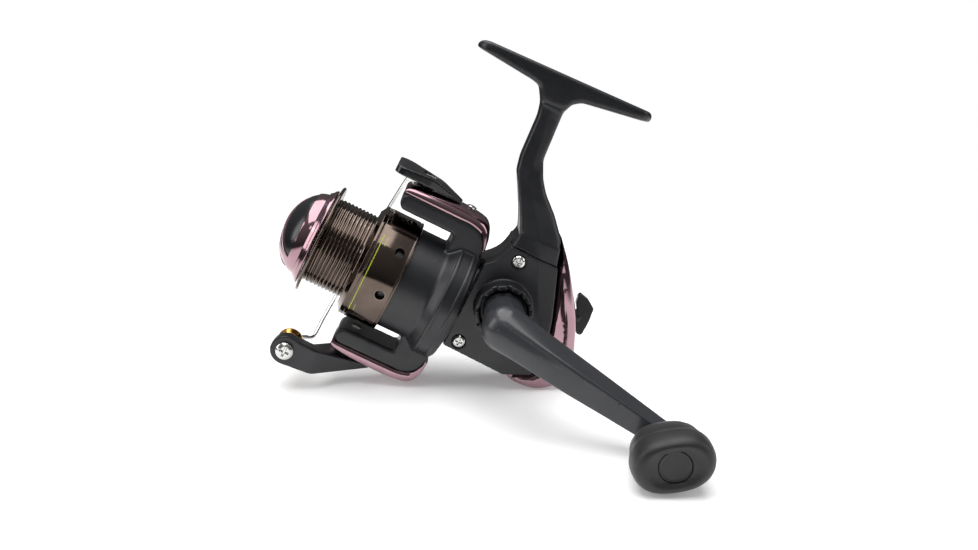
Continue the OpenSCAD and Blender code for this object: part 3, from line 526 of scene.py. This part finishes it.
# the plated tail: a mirror with full round edges
tailShape = {"edge": 2.6, "crown": 1.6, "reach": 9, "cell": 0.9}
low, high = headBox("rear_cover")
tailLine = [(-7.6, 39), (-14.3, 31.6), (-20, 24.1), (-25.3, 16.3), (-29.3, 8.3), (-32, 1.5),
            (-32.6, -4), (-30.8, -9.3), (-26, -13.5), (-20.8, -15), (-15.6, -15), (-11, -13.2)]
caseLine = [(-19.8, -9), (-21.3, -5), (-20.5, 3), (-17.7, 12.1), (-14.6, 20.1), (-10.9, 29)]
outer = smoothLine(tailLine, 12)
inner = smoothLine([(-12.4, -12.4)] + caseLine, 12)
tail = pillow([tuple(p) for p in outer[:-1] + inner], low.y, high.y, tailShape["edge"],
              tailShape["crown"], tailShape["reach"], tailShape["cell"])
addPiece("platedTail", tail, platedRose, ("rear_cover",))
bevelled("tailScrew", "rear_cover_screw", polishedSteel, 0.15)
bevelled("caseScrews", "cover_screws", polishedSteel, 0.15)
print("stage: tail and case screws")

# ---- the rotor: a moulded cup with two arms
rotorShape = {
    "cell": 0.34, "rounds": 12,
    "armRounds": 14, "armFrom": 23.0,  # more smoothing on the arms, which lie beyond this radius, mm
    "cup": 21.6, "ridges": (16.6, 21.0), "ridgeHigh": 0.3, "ridgeWide": 0.9}
bm = fuse(cadCopy("rotor"), rotorShape["cell"], rotorShape["rounds"], inRow=True)
arms = [v for v in bm.verts if abs((rowToHead @ v.co).z) > rotorShape["armFrom"]]
for _ in range(rotorShape["armRounds"]):
    bmesh.ops.smooth_vert(bm, verts=arms, factor=0.5, use_axis_x=True, use_axis_y=True, use_axis_z=True)
addPiece("rotorCup", bm, mouldedAbs, ("rotor",), inRow=True, sharp=60)
cupRadius = rotorShape["cup"]
for number, x in enumerate(rotorShape["ridges"]):
    wide, tall = rotorShape["ridgeWide"], rotorShape["ridgeHigh"]
    swell = ((-1, -0.4), (-0.8, -0.05), (-0.4, tall * 0.8), (0, tall),
             (0.4, tall * 0.8), (0.8, -0.05), (1, -0.4))
    ridge = lathe([(x + wide * a, cupRadius + b) for a, b in swell], closed=True)
    addPiece(f"rotorRidge{number + 1}", ridge, mouldedAbs, body="rotor", sharp=60)


def armCover(name, node, flip):
    # an arched skin along the outside of the arm: outer line and inner line from the tail to the front
    coverShape = {"half": 8.0, "power": 6.5 if flip else 2.7, "across": 32, "along": 6}
    low, high = headBox(node)
    front, back = high.x, low.x
    top = -low.z if flip else high.z
    root = -high.z if flip else low.z
    under = top - 4.0
    outerLine = smoothLine([(back, root), (back + 0.05, root + 1.8), (back + 0.7, top - 5.5),
                            (back + 2.2, top - 2.4), (back + 5.2, top - 0.7), (back + 13, top),
                            (back + 24, top - 0.3), (front - 4, top - 0.8), (front - 0.9, top - 1.5),
                            (front, under + 1.2), (front, under)],
                           coverShape["along"])
    innerLine = smoothLine([(back + 1, root), (back + 1.02, root + 0.9), (back + 1.4, top - 9),
                            (back + 3.6, top - 5.6), (back + 8.5, under), (back + 14, under),
                            (back + 24, under), (front - 4, under), (front - 0.9, under),
                            (front - 0.3, under), (front - 0.3, under - 0.05)],
                           coverShape["along"])
    bm = bmesh.new()
    sign = -1 if flip else 1
    rows, backs = [], []
    for a, b in zip(outerLine, innerLine):
        row, flat = [], []
        for k in range(coverShape["across"] + 1):
            v = -math.cos(math.pi * k / coverShape["across"])
            rise = (1 - abs(v) ** coverShape["power"]) ** (1 / coverShape["power"])
            point = b.lerp(a, rise)
            row.append(bm.verts.new((point.x, v * coverShape["half"] * sign, point.y * sign)))
            flat.append(bm.verts.new((b.x, v * (coverShape["half"] - 0.05) * sign, (b.y - 0.05) * sign)))
        rows.append(row)
        backs.append(flat)
    for grid in (rows, backs):
        for a, b in zip(grid, grid[1:]):
            bridge(bm, a, b, closed=False)
    for side in (0, -1):
        bridge(bm, [r[side] for r in rows], [r[side] for r in backs], closed=False)
    for end in (0, -1):
        bridge(bm, rows[end], backs[end], closed=False)
    bmesh.ops.remove_doubles(bm, verts=bm.verts, dist=1e-4)
    addPiece(name, bm, platedRose, (node,), sharp=50)


armCover("platedArmTop", "upper_arm_cover", False)
armCover("platedArmBottom", "lower_arm_cover", True)
bevelled("armCoverScrews", "arm_cover_screws", polishedSteel, 0.15)
bevelled("bailPivotScrews", "bail_pivot_screws", polishedSteel, 0.15)
print("stage: rotor")

# ---- the bail
softened("rollerArm", "roller_arm", mouldedAbs, 0.26, 12)
softened("wireHolder", "bail_holder", polishedAbs, 0.24, 8)
wireShape = {
    "radius": 0.8, "tilt": 5.0, "bend": 37.4, "centre": (51, -4, -1),
    "first": -64, "last": 89, "low": -79}  # angles of the bow's curve, and of the point that steers its end
tilt = math.radians(wireShape["tilt"])


def onWire(angle):
    a = math.radians(angle)
    return Vector(wireShape["centre"]) + wireShape["bend"] * Vector(
        (-math.sin(a) * math.sin(tilt), -math.cos(a), math.sin(a) * math.cos(tilt)))


rollerAt = jointAt("roller_spin")
coneTip = Vector((rollerAt.x, rollerAt.y - 11.6, rollerAt.z))
coneRoot = Vector((rollerAt.x, rollerAt.y - 3.8, rollerAt.z))
arc = [onWire(a) for a in range(wireShape["first"], wireShape["last"], 4)]
low = onWire(wireShape["low"])
lead = smoothLine([coneRoot, coneRoot.lerp(coneTip, 0.6), rollerAt + Vector((-0.6, -11, -0.9)),
                   low + Vector((2.2, -0.6, -1.9)), low + Vector((0, -2.0, -0.6))] + arc, 4)
sizes = []
for p in lead:
    past = (coneRoot.y - p.y) / (coneRoot.y - coneTip.y)
    nearCone = max(0, 1 - past) if (p - coneRoot).length < 14 else 0
    sizes.append(wireShape["radius"] + 3.5 * nearCone ** 1.3)
addPiece("bailWire", tube(lead, sizes, 24), polishedSteel, ("bail_wire",), sharp=60)
bevelled("rollerScrew", "roller_screw", polishedSteel, 0.22)
low, high = headBox("line_roller")
across = high.z - rollerAt.z
rollerLine = rounded([(low.y, 2.1), (low.y, across, 0.35), (low.y + 0.9, across, 0.3),
                      (low.y + 2.3, across - 1.1, 0.6), (high.y - 2.3, across - 1.1, 0.6),
                      (high.y - 0.9, across, 0.3), (high.y, across, 0.35),
                      (high.y, 2.1)])
bm = bmesh.new()
joinInto(bm, lathe(rollerLine, 72, closed=True))
bmesh.ops.rotate(bm, matrix=Matrix.Rotation(math.radians(90), 3, "Z"), verts=bm.verts)
bmesh.ops.translate(bm, vec=(rollerAt.x, 0, rollerAt.z), verts=bm.verts)
addPiece("goldRoller", bm, coatedGold, ("line_roller",))
print("stage: bail")

# ---- the spool: skirt, line groove and lip turned in one, with round holes through the skirt
spoolShape = {
    "holes": 8, "holeFirst": 35, "holeSize": 1.7, "turns": 240,
    "ridges": 9, "ridgeHigh": 0.42,                # rounds moulded in the line groove
    "lip": 1.4, "groove": 14.2,                    # lengths along the shaft
    "arborSize": 15.8, "lipSize": 19.8, "wall": 1.1}
low, high = headBox("spool")
back, nose = low.x, high.x
skirt = max(high.z, high.y)
lip = nose - spoolShape["lip"]
groove = lip - spoolShape["groove"]
arbor, lipSize = spoolShape["arborSize"], spoolShape["lipSize"]
holeX, wallIn = back + 4, skirt - spoolShape["wall"]
turns = spoolShape["turns"]
outerRows = [holeX + 0.4 * k for k in range(-6, 7)]
skirtLine = rounded([(back, wallIn - 0.3), (back, skirt - 0.05, 0.35), (back + 0.75, skirt, 0.2),
                     (back + 0.8, skirt - 0.22, 0.05),
                     (back + 1.15, skirt - 0.22, 0.05), (back + 1.2, skirt, 0.15)], steps=3)
skirtLine += [(x, skirt) for x in outerRows]
skirtLine += rounded([(outerRows[-1] + 0.4, skirt), (groove - 3.1, skirt, 0.1),
                      (groove - 3.0, skirt - 0.12, 0.05), (groove - 2.75, skirt - 0.12, 0.05),
                      (groove - 2.65, skirt, 0.1), (groove - 1.5, skirt, 0.15),
                      (groove - 1.35, skirt - 0.2, 0.05), (groove - 0.2, skirt - 2.0, 0.1),
                      (groove - 0.1, skirt - 2.3, 0.1), (groove + 0.25, skirt - 2.5, 0.3),
                      (groove + 0.25, arbor + 1, 0.3), (groove + 0.5, arbor - 0.35, 0.4)], steps=4)
pitch = (lip - groove) / (spoolShape["ridges"] + 1)
ridgeHigh = spoolShape["ridgeHigh"]
for k in range(1, spoolShape["ridges"] + 1):
    mid = groove + k * pitch
    for part in range(-4, 5):
        skirtLine.append((mid + part * pitch * 0.11,
                          arbor - ridgeHigh + ridgeHigh * math.cos(part / 4 * math.pi / 2) ** 0.8))
skirtLine += rounded([(lip - 0.5, arbor - 0.4), (lip - 0.1, arbor, 0.5), (lip, lipSize - 0.9, 0.5),
                      (lip + 0.25, lipSize, 0.5), (nose - 0.3, lipSize, 0.45), (nose, lipSize - 1.0, 0.4),
                      (nose, 17.2), (nose - 0.6, 16.9, 0.3), (nose - 0.6, 10),
                      (nose - 1.4, 9.6), (nose - 7.5, 9.6), (nose - 7.5, 2.8)], steps=4)
innerLine = [(groove - 1.5, 2.8), (groove - 1.5, wallIn)] + [(x, wallIn) for x in reversed(outerRows)]
profile = skirtLine + innerLine + [(back + 0.3, wallIn)]
bm = lathe(profile, turns, closed=True)
holes = []
for k in range(spoolShape["holes"]):
    holes.append(math.radians(spoolShape["holeFirst"] + 360 / spoolShape["holes"] * k))


def aroundHole(co, hole):
    # offset from the hole's axis, along x and round the skirt; the holes turn from up towards -y
    turn = math.atan2(-co.y, co.z)
    swing = (turn - hole + math.pi) % math.tau - math.pi
    return Vector((co.x - holeX, swing * skirt))


wallFaces = [f for f in bm.faces if all(abs(math.hypot(v.co.y, v.co.z) - skirt) < 0.01
                                        or abs(math.hypot(v.co.y, v.co.z) - wallIn) < 0.01 for v in f.verts)
             and back + 1.3 < f.calc_center_median().x < holeX + 2.9]
gone = set()
for f in wallFaces:
    middle = f.calc_center_median()
    for hole in holes:
        if aroundHole(middle, hole).length < spoolShape["holeSize"] * 0.97:
            gone.add(f)
bmesh.ops.delete(bm, geom=list(gone), context="FACES")
rimVerts = {v for e in bm.edges if len(e.link_faces) == 1 for v in e.verts}
for v in rimVerts:
    for hole in holes:
        off = aroundHole(v.co, hole)
        if off.length < 3:
            size = math.hypot(v.co.y, v.co.z)
            off = off.normalized() * spoolShape["holeSize"]
            turn = hole + off.y / skirt
            v.co = Vector((holeX + off.x, -size * math.sin(turn), size * math.cos(turn)))
for hole in holes:
    rim = [e for e in bm.edges if len(e.link_faces) == 1 and aroundHole(e.verts[0].co, hole).length < 3]
    if rim:
        bmesh.ops.bridge_loops(bm, edges=rim)
addPiece("platedSpool", bm, platedSmoke, ("spool",), sharp=38)
stripeShape = {
    # inset from the skirt's front, width, and the arc in degrees
    "long": (4.1, 0.34, 45, 133),
    "short": ((5.6, 0.2, 45, 56), (5.6, 0.2, 122, 131)),
    "proud": 0.02}


def stripe(name, inset, wide, first, last):
    x, count = groove - inset, 60
    bm = bmesh.new()
    rows = []
    inner, outer = skirt - 0.02, skirt + stripeShape["proud"]
    for across, size in ((-0.5, inner), (-0.5, outer), (0.5, outer), (0.5, inner)):
        angles = [math.radians(-first - (last - first) * k / count) for k in range(count + 1)]
        rows.append([bm.verts.new((x + across * wide, -size * math.sin(a), size * math.cos(a)))
                     for a in angles])
    for a, b in zip(rows, rows[1:] + rows[:1]):
        bridge(bm, a, b, closed=False)
    for end in (0, -1):
        bm.faces.new([row[end] for row in rows])
    addPiece(name, bm, printedInk, body="spool")


stripe("printedStripe", *stripeShape["long"])
for number, size in enumerate(stripeShape["short"]):
    stripe(f"printedDash{number + 1}", *size)
print("stage: spool")

# ---- the drag knob: a plated dome with two black panels let into its sides
domeShape = {
    "base": 2.6, "slopeSize": 15.3,              # the ring's length and the dome's radius at its foot
    "cut": 3.3, "turn": 42, "panelBack": 5.8,    # where the panels start, and their turn in degrees
    "rim": 0.2, "inside": 0.3}
low, high = headBox("drag_knob")
start, tip = low.x, high.x - domeShape["inside"]
ringSize = high.y
long_ = tip - start - domeShape["base"] + 1
ring = lathe(rounded([(start, 12), (start, ringSize - 0.2, 0.4), (start + 0.35, ringSize, 0.3),
                      (start + 1.35, ringSize - 0.7, 0.3), (start + 1.4, ringSize - 1.1, 0.1),
                      (start + 2.5, ringSize - 1.9, 0.2), (start + domeShape["base"], ringSize - 2.3, 0.1),
                      (start + domeShape["base"], 12)]), closed=True)
addPiece("dragKnobRing", ring, platedRose, body="drag_knob", sharp=50)


def domePoint(t, shrink=0.0):
    # t runs from 0 at the dome's foot to 1 at its tip
    a = math.pi / 2 * t
    x = start + domeShape["base"] - 1 + (long_ - shrink) * math.sin(a)
    return x, (domeShape["slopeSize"] - shrink) * math.cos(a)


def panelWays(side):
    turn = math.radians(side * 90 + domeShape["turn"])
    return Vector((0, -math.sin(turn), math.cos(turn)))


def domeSkin(shrink, turns=200, rows=60):
    line = [domePoint(k / rows, shrink) for k in range(rows)]
    return lathe([(x, max(r, 0)) for x, r in line] + [(tip - shrink, 0)], turns)


def keepSide(bm, point, way):
    # cuts the mesh along a plane and keeps what lies ahead of it
    bmesh.ops.bisect_plane(bm, geom=list(bm.verts) + list(bm.edges) + list(bm.faces), dist=1e-5,
                           plane_co=point, plane_no=way, clear_inner=True)


band = domeSkin(0)
for side in (-1, 1):
    # the band keeps everything but the two panels: cut both planes, then drop the faces of the panels
    way = panelWays(side)
    bmesh.ops.bisect_plane(band, geom=list(band.verts) + list(band.edges) + list(band.faces), dist=1e-5,
                           plane_co=way * domeShape["cut"], plane_no=way)
panelX = start + domeShape["panelBack"]
bmesh.ops.bisect_plane(band, geom=list(band.verts) + list(band.edges) + list(band.faces), dist=1e-5,
                       plane_co=(panelX, 0, 0), plane_no=(1, 0, 0))
gone = [f for f in band.faces if f.calc_center_median().x > panelX
        and any(f.calc_center_median().dot(panelWays(s)) > domeShape["cut"] for s in (-1, 1))]
bmesh.ops.delete(band, geom=gone, context="FACES")
bmesh.ops.recalc_face_normals(band, faces=band.faces)
bmesh.ops.solidify(band, geom=list(band.faces), thickness=0.9)
addPiece("platedDome", band, platedRose, ("drag_knob",), sharp=40)
for number, side in enumerate((-1, 1)):
    panel = domeSkin(0.28)
    way = panelWays(side)
    keepSide(panel, way * (domeShape["cut"] + 0.12), way)
    keepSide(panel, Vector((panelX + 0.12, 0, 0)), Vector((1, 0, 0)))
    bmesh.ops.recalc_face_normals(panel, faces=panel.faces)
    bmesh.ops.solidify(panel, geom=list(panel.faces), thickness=0.8)
    addPiece(f"dragPanel{number + 1}", panel, polishedAbs,
             ("drag_knob_insets",) if number == 0 else (), body="drag_knob", sharp=40)
    # a raised bead round the panel's opening
    bead = []
    for k in range(61):
        # along the cut plane over the dome, from one foot corner to the other
        across = way.cross(Vector((1, 0, 0)))
        lim = math.sqrt(max(0, domeShape["slopeSize"] ** 2 - domeShape["cut"] ** 2))
        s = -1 + 2 * k / 60
        swing = math.sin(s * math.pi / 2) * lim
        radius = math.hypot(swing, domeShape["cut"])
        level = math.acos(min(1, radius / domeShape["slopeSize"])) / (math.pi / 2)
        x = domePoint(level)[0]
        if x > panelX:
            bead.append(Vector((x, 0, 0)) + way * domeShape["cut"] + across * swing)
    addPiece(f"panelBead{number + 1}", tube(bead, domeShape["rim"], 12), platedRose, body="drag_knob",
             sharp=60)
print("stage: drag knob")

# ---- the handle
handleShape = {
    "cell": 0.3, "rounds": 6, "sides": 72,
    "faces": ((262, 0.8), (352, 0.62), (82, 0.8), (172, 0.62)),  # each face's direction, and its reach
    "crisp": 15, "grow": 1.14}
axle = jointAt("handle_turn")
grip = jointAt("knob_spin")
low, high = headBox("handle_arm")
ballSize, midSize, endSize = 8.0, 6.6, 4.6
ball = Vector((axle.x, high.y - endSize - 20.5, axle.z))
end = Vector((grip.x, high.y - endSize, grip.z))
away = (end - ball)
mid = ball + Vector((away.x * 0.4, 20.5 * 0.44, away.z * 0.4))
armPath = smoothLine([ball, ball.lerp(mid, 0.5), mid, mid.lerp(end, 0.5), end], 6)
armSizes = []
for p in armPath:
    t = (p - ball).length / (end - ball).length
    armSizes.append(ballSize + (midSize - ballSize) * t / 0.42 if t < 0.42
                    else midSize + (endSize - midSize) * (t - 0.42) / 0.58)


def armSection(turn, t):
    # round at the ball, turning into a four-sided bar with soft corners towards the knob
    share = min(1, max(0, (t - 0.12) / 0.5))
    share = share * share * (3 - 2 * share)
    total = 0
    for face, reach in handleShape["faces"]:
        lean = math.cos(turn - math.radians(face))
        if lean > 0:
            total += (lean / reach) ** handleShape["crisp"]
    flat = total ** (-1 / handleShape["crisp"]) * handleShape["grow"]
    return 1 + (flat - 1) * share


bm = ballTube(armPath, armSizes, handleShape["sides"], armSection)
neck = lathe(rounded([(low.y, 0), (low.y, 7.2, 0.4), (low.y + 2.4, 7.2, 0.2), (low.y + 2.7, 6.7, 0.2),
                      (low.y + 6, 6.7, 0.3), (low.y + 6.3, 7.1, 0.2), (ball.y, 7.1), (ball.y, 0)]), 96)
bmesh.ops.rotate(neck, matrix=Matrix.Rotation(math.radians(90), 3, "Z"), verts=neck.verts)
bmesh.ops.translate(neck, vec=(axle.x, 0, axle.z), verts=neck.verts)
joinInto(bm, neck)
bm = fuse(bm, handleShape["cell"], handleShape["rounds"])
armTree = BVHTree.FromBMesh(bm)
addPiece("handleArm", bm, sprayedZinc, ("handle_arm",), sharp=70)

# a fine moulded line along the arm: a raised thread, then a small dot; beside the thread runs a thin black bar
# that is painted shade, standing in for the shade on the groove's far side
grooveShape = {"from": -0.05, "to": 0.66, "swing": -6, "size": 0.13, "beside": 1.9, "shadow": 0.11,
               "dot": 0.74, "dotSize": 0.5}
toViewer = Vector((0.1222, 0.9685, 0.2169))
toViewer = (headTurn.inverted().to_3x3() @ toViewer).normalized()
armWay = (end - ball).normalized()


def onArm(t, swing, sink):
    spot = ball.lerp(end, t)
    out = (toViewer - armWay * toViewer.dot(armWay)).normalized()
    out = Matrix.Rotation(math.radians(swing), 3, armWay) @ out
    hit = armTree.ray_cast(spot + out * 30, -out)[0]
    return hit - out * sink if hit is not None else None


for name, swing, material, size in (
        ("handleThread", grooveShape["swing"], sprayedZinc, grooveShape["size"]),
        # painted shade: a black bar laid beside the thread where the groove would only be in shade
        ("handleShadowLine", grooveShape["swing"] - grooveShape["beside"], polishedAbs,
         grooveShape["shadow"])):
    line = []
    for k in range(25):
        t = grooveShape["from"] + (grooveShape["to"] - grooveShape["from"]) * k / 24
        hit = onArm(t, swing, size * 0.35)
        if hit is not None:
            line.append(hit)
    line = smoothLine(line, 5)
    sizes = [size * min(1, 0.25 + 3 * min(k, len(line) - 1 - k) / len(line)) for k in range(len(line))]
    addPiece(name, tube(line, sizes, 10), material, body="handle", sharp=60)
dotAt = onArm(grooveShape["dot"], grooveShape["swing"], 0.3)
dot = ballTube([dotAt - armWay * 0.15, dotAt + armWay * 0.15], [grooveShape["dotSize"]] * 2, 24)
addPiece("handleDot", dot, sprayedZinc, body="handle", sharp=60)

# the knob: a round-shouldered back, a step, and a wider egg-shaped front with a dished face
low, high = headBox("knob_body")
knobShape = {
    "lobe": 8.74, "apart": 3.76, "lean": 29, "soft": 2.2, "turns": 120, "cap": 5.05,
    # share of the length from the back, and share of the full size
    "sections": ((0, 0.52), (0.03, 0.66), (0.09, 0.78), (0.22, 0.87), (0.42, 0.925), (0.53, 0.93),
                 (0.55, 0.95), (0.575, 0.985), (0.62, 1.0), (0.72, 1.0), (0.84, 0.985), (0.91, 0.95),
                 (0.955, 0.9), (0.985, 0.83), (1.0, 0.75), (0.995, 0.69), (0.98, 0.63), (0.965, 0.56))}


def knobPoint(turn, y, size):
    # two round lobes set apart along a leaning line, blended into an egg
    lean = math.radians(knobShape["lean"])
    a = math.tau * turn / knobShape["turns"]
    shift = knobShape["apart"] * math.tanh(knobShape["soft"] * math.cos(a))
    u = (shift + knobShape["lobe"] * math.cos(a)) * size
    v = (knobShape["lobe"] * math.sin(a) - 0.76 * math.tanh(knobShape["soft"] * math.cos(a))) * size
    return Vector((grip.x + u * math.cos(lean) + v * math.sin(lean), y,
                   grip.z - u * math.sin(lean) + v * math.cos(lean)))


bm = bmesh.new()
long_ = high.y - low.y
rings = [[bm.verts.new(knobPoint(k, low.y + long_ * f, size)) for k in range(knobShape["turns"])]
         for f, size in knobShape["sections"]]
floorY = low.y + long_ * 0.958
for wider, sunk in ((0.5, 0), (0.1, 0.1), (0, 0.4), (0, 2)):
    radius, y = knobShape["cap"] + wider, floorY - sunk
    ring = []
    for k in range(knobShape["turns"]):
        way = knobPoint(k, y, 1) - Vector((grip.x, y, grip.z))
        ring.append(bm.verts.new(Vector((grip.x, y, grip.z)) + way.normalized() * radius))
    rings.append(ring)
for a, b in zip(rings, rings[1:]):
    bridge(bm, a, b)
bm.faces.new(rings[0])
bm.faces.new(rings[-1])
addPiece("knobGrip", bm, mouldedRubber, ("knob_body",), sharp=45)
capSize = knobShape["cap"] - 0.1
cap = lathe(rounded([(floorY - 1.9, 0), (floorY - 1.9, capSize), (floorY - 0.45, capSize, 0.25),
                     (floorY - 0.3, capSize - 0.4, 0.2), (floorY - 0.5, capSize - 0.8, 0.3),
                     (floorY - 0.55, 0)]), 72)
bmesh.ops.rotate(cap, matrix=Matrix.Rotation(math.radians(90), 3, "Z"), verts=cap.verts)
bmesh.ops.translate(cap, vec=(grip.x, 0, grip.z), verts=cap.verts)
addPiece("knobCap", cap, mouldedRubber, ("knob_cap",))
softened("reverseLever", "reverse_lever", mouldedAbs, 0.2, 8)
print("stage: handle")

# ---- the studio: a white floor, a white surround and broad soft lights
studio = {
    "up": (0.398, 0.055, 0.916), "floorHalf": 0.9, "fadeFrom": 0.22, "fadeTo": 0.4, "glow": 0.2,
    "topPower": 9.0, "leftPower": 2.0, "rightPower": 1.4, "frontPower": 0.15}
up = Vector(studio["up"]).normalized()
hull = bmesh.new()
for node in nodes.values():
    for v in list(node.data.vertices)[::3]:
        hull.verts.new(v.co)
bmesh.ops.convex_hull(hull, input=hull.verts)
hull.normal_update()
best = max((f for f in hull.faces if f.calc_area() > 1e-5), key=lambda f: -f.normal.dot(up))
floorUp = -best.normal.copy()
floorAt = best.calc_center_median().copy()
hull.free()
print("floor: normal", [round(c, 3) for c in floorUp], "agreement", round(floorUp.dot(up), 3))
camera = bpy.data.objects.new("camera", bpy.data.cameras.new("camera"))
scene.collection.objects.link(camera)
camera.data.lens = 35
camera.data.sensor_width = 36
camera.data.clip_start = 0.01
viewRight = Vector((-0.91692, 0.02648, 0.39818))
viewUp = Vector((0.37990, -0.24753, 0.89129))
viewBack = viewRight.cross(viewUp)
camera.matrix_world = Matrix.Translation((0.03817, 0.32695, -0.00097)) @ Matrix(
    (viewRight, viewUp, viewBack)).transposed().to_4x4()
scene.camera = camera
towards = (viewBack - floorUp * viewBack.dot(floorUp)).normalized()
rightWay = towards.cross(floorUp) * -1

# photographer's white card, matt, with a faint tooth; it isn't seen from below
card = bpy.data.materials.new("White card, matt")
card.use_nodes = True
tree = card.node_tree
tree.nodes.clear()
place = addNode(tree, "TexCoord").outputs["Object"]
tooth = addNode(tree, "TexNoise", {"Scale": 900.0, "Detail": 2.0}, {"Vector": place})
cardTone = addNode(tree, "Mix", {"data_type": "RGBA", 6: colour("#fbfbfb"), 7: colour("#ffffff")},
                   {0: tooth.outputs[0]})
cardBump = addNode(tree, "Bump", {"Strength": 0.05, "Distance": 0.0002}, {"Height": tooth.outputs[0]})
cardFace = addNode(tree, "BsdfPrincipled",
                   {"Roughness": 0.85, "Emission Color": (1, 1, 1, 1), "Emission Strength": studio["glow"]},
                   {"Base Color": cardTone.outputs[2], "Normal": cardBump.outputs[0]})
clear = addNode(tree, "BsdfTransparent")
behind = addNode(tree, "NewGeometry")
fromMiddle = addNode(tree, "VectorMath", {"operation": "DISTANCE", 1: tuple(floorAt)}, {0: place})
fade = addNode(tree, "MapRange", {"interpolation_type": "SMOOTHSTEP", "From Min": studio["fadeFrom"],
               "From Max": studio["fadeTo"]}, {"Value": fromMiddle.outputs["Value"]})
hidden = addNode(tree, "Math", {"operation": "MAXIMUM"},
                 {0: behind.outputs["Backfacing"], 1: fade.outputs[0]})
mixed = addNode(tree, "MixShader", {}, {0: hidden.outputs[0], 1: cardFace.outputs[0], 2: clear.outputs[0]})
addNode(tree, "OutputMaterial", {}, {"Surface": mixed.outputs[0]})
floorMesh = bpy.data.meshes.new("floor")
fm = bmesh.new()
half = studio["floorHalf"]
cells = 24
grid = [[fm.verts.new(floorAt + rightWay * half * (2 * i / cells - 1) + towards * half * (2 * j / cells - 1))
         for i in range(cells + 1)] for j in range(cells + 1)]
for a, b in zip(grid, grid[1:]):
    bridge(fm, a, b, closed=False)
fm.normal_update()
if sum((f.normal for f in fm.faces), Vector()).dot(floorUp) < 0:
    bmesh.ops.reverse_faces(fm, faces=fm.faces)
fm.to_mesh(floorMesh)
fm.free()
floorMesh.materials.append(card)
floor = bpy.data.objects.new("floor", floorMesh)
scene.collection.objects.link(floor)

middle = (Vector(cadBox[0]) + Vector(cadBox[1])) / 2


def softbox(name, offset, size, power):
    lamp = bpy.data.lights.new(name, "AREA")
    lamp.shape = "RECTANGLE"
    lamp.size, lamp.size_y = size
    lamp.energy = power
    box = bpy.data.objects.new(name, lamp)
    spot = middle + rightWay * offset[0] + towards * offset[1] + floorUp * offset[2]
    box.matrix_world = Matrix.Translation(spot) @ (spot - middle).to_track_quat("Z", "Y").to_matrix().to_4x4()
    scene.collection.objects.link(box)
    return box


softbox("topBox", (-0.05, -0.05, 0.75), (1.1, 0.8), studio["topPower"])
softbox("leftBox", (-0.75, 0.15, 0.35), (0.35, 0.6), studio["leftPower"])
softbox("rightBox", (0.8, 0.15, 0.35), (0.3, 0.6), studio["rightPower"])
softbox("frontBox", (-0.2, 0.7, 0.6), (0.12, 0.12), studio["frontPower"])

world = bpy.data.worlds.new("whiteRoom")
scene.world = world
world.use_nodes = True
tree = world.node_tree
tree.nodes.clear()
# seen directly the room is white; what falls on the object is brighter above and dark beside it
look = addNode(tree, "TexCoord").outputs["Generated"]
height = addNode(tree, "VectorMath", {"operation": "DOT_PRODUCT", 1: tuple(floorUp)}, {0: look})
rise = addNode(tree, "MapRange", {"From Min": -0.2, "From Max": 0.9, "To Min": 0.03, "To Max": 0.3},
               {"Value": height.outputs["Value"]})
rays = addNode(tree, "LightPath")
strength = addNode(tree, "Mix", {"data_type": "FLOAT", 3: 1.0},
                   {0: rays.outputs["Is Camera Ray"], 2: rise.outputs[0]})
back = addNode(tree, "Background", {"Color": (1, 1, 1, 1)}, {"Strength": strength.outputs[0]})
addNode(tree, "OutputWorld", {}, {"Surface": back.outputs[0]})
scene.view_settings.view_transform = "Standard"
print("stage: studio")
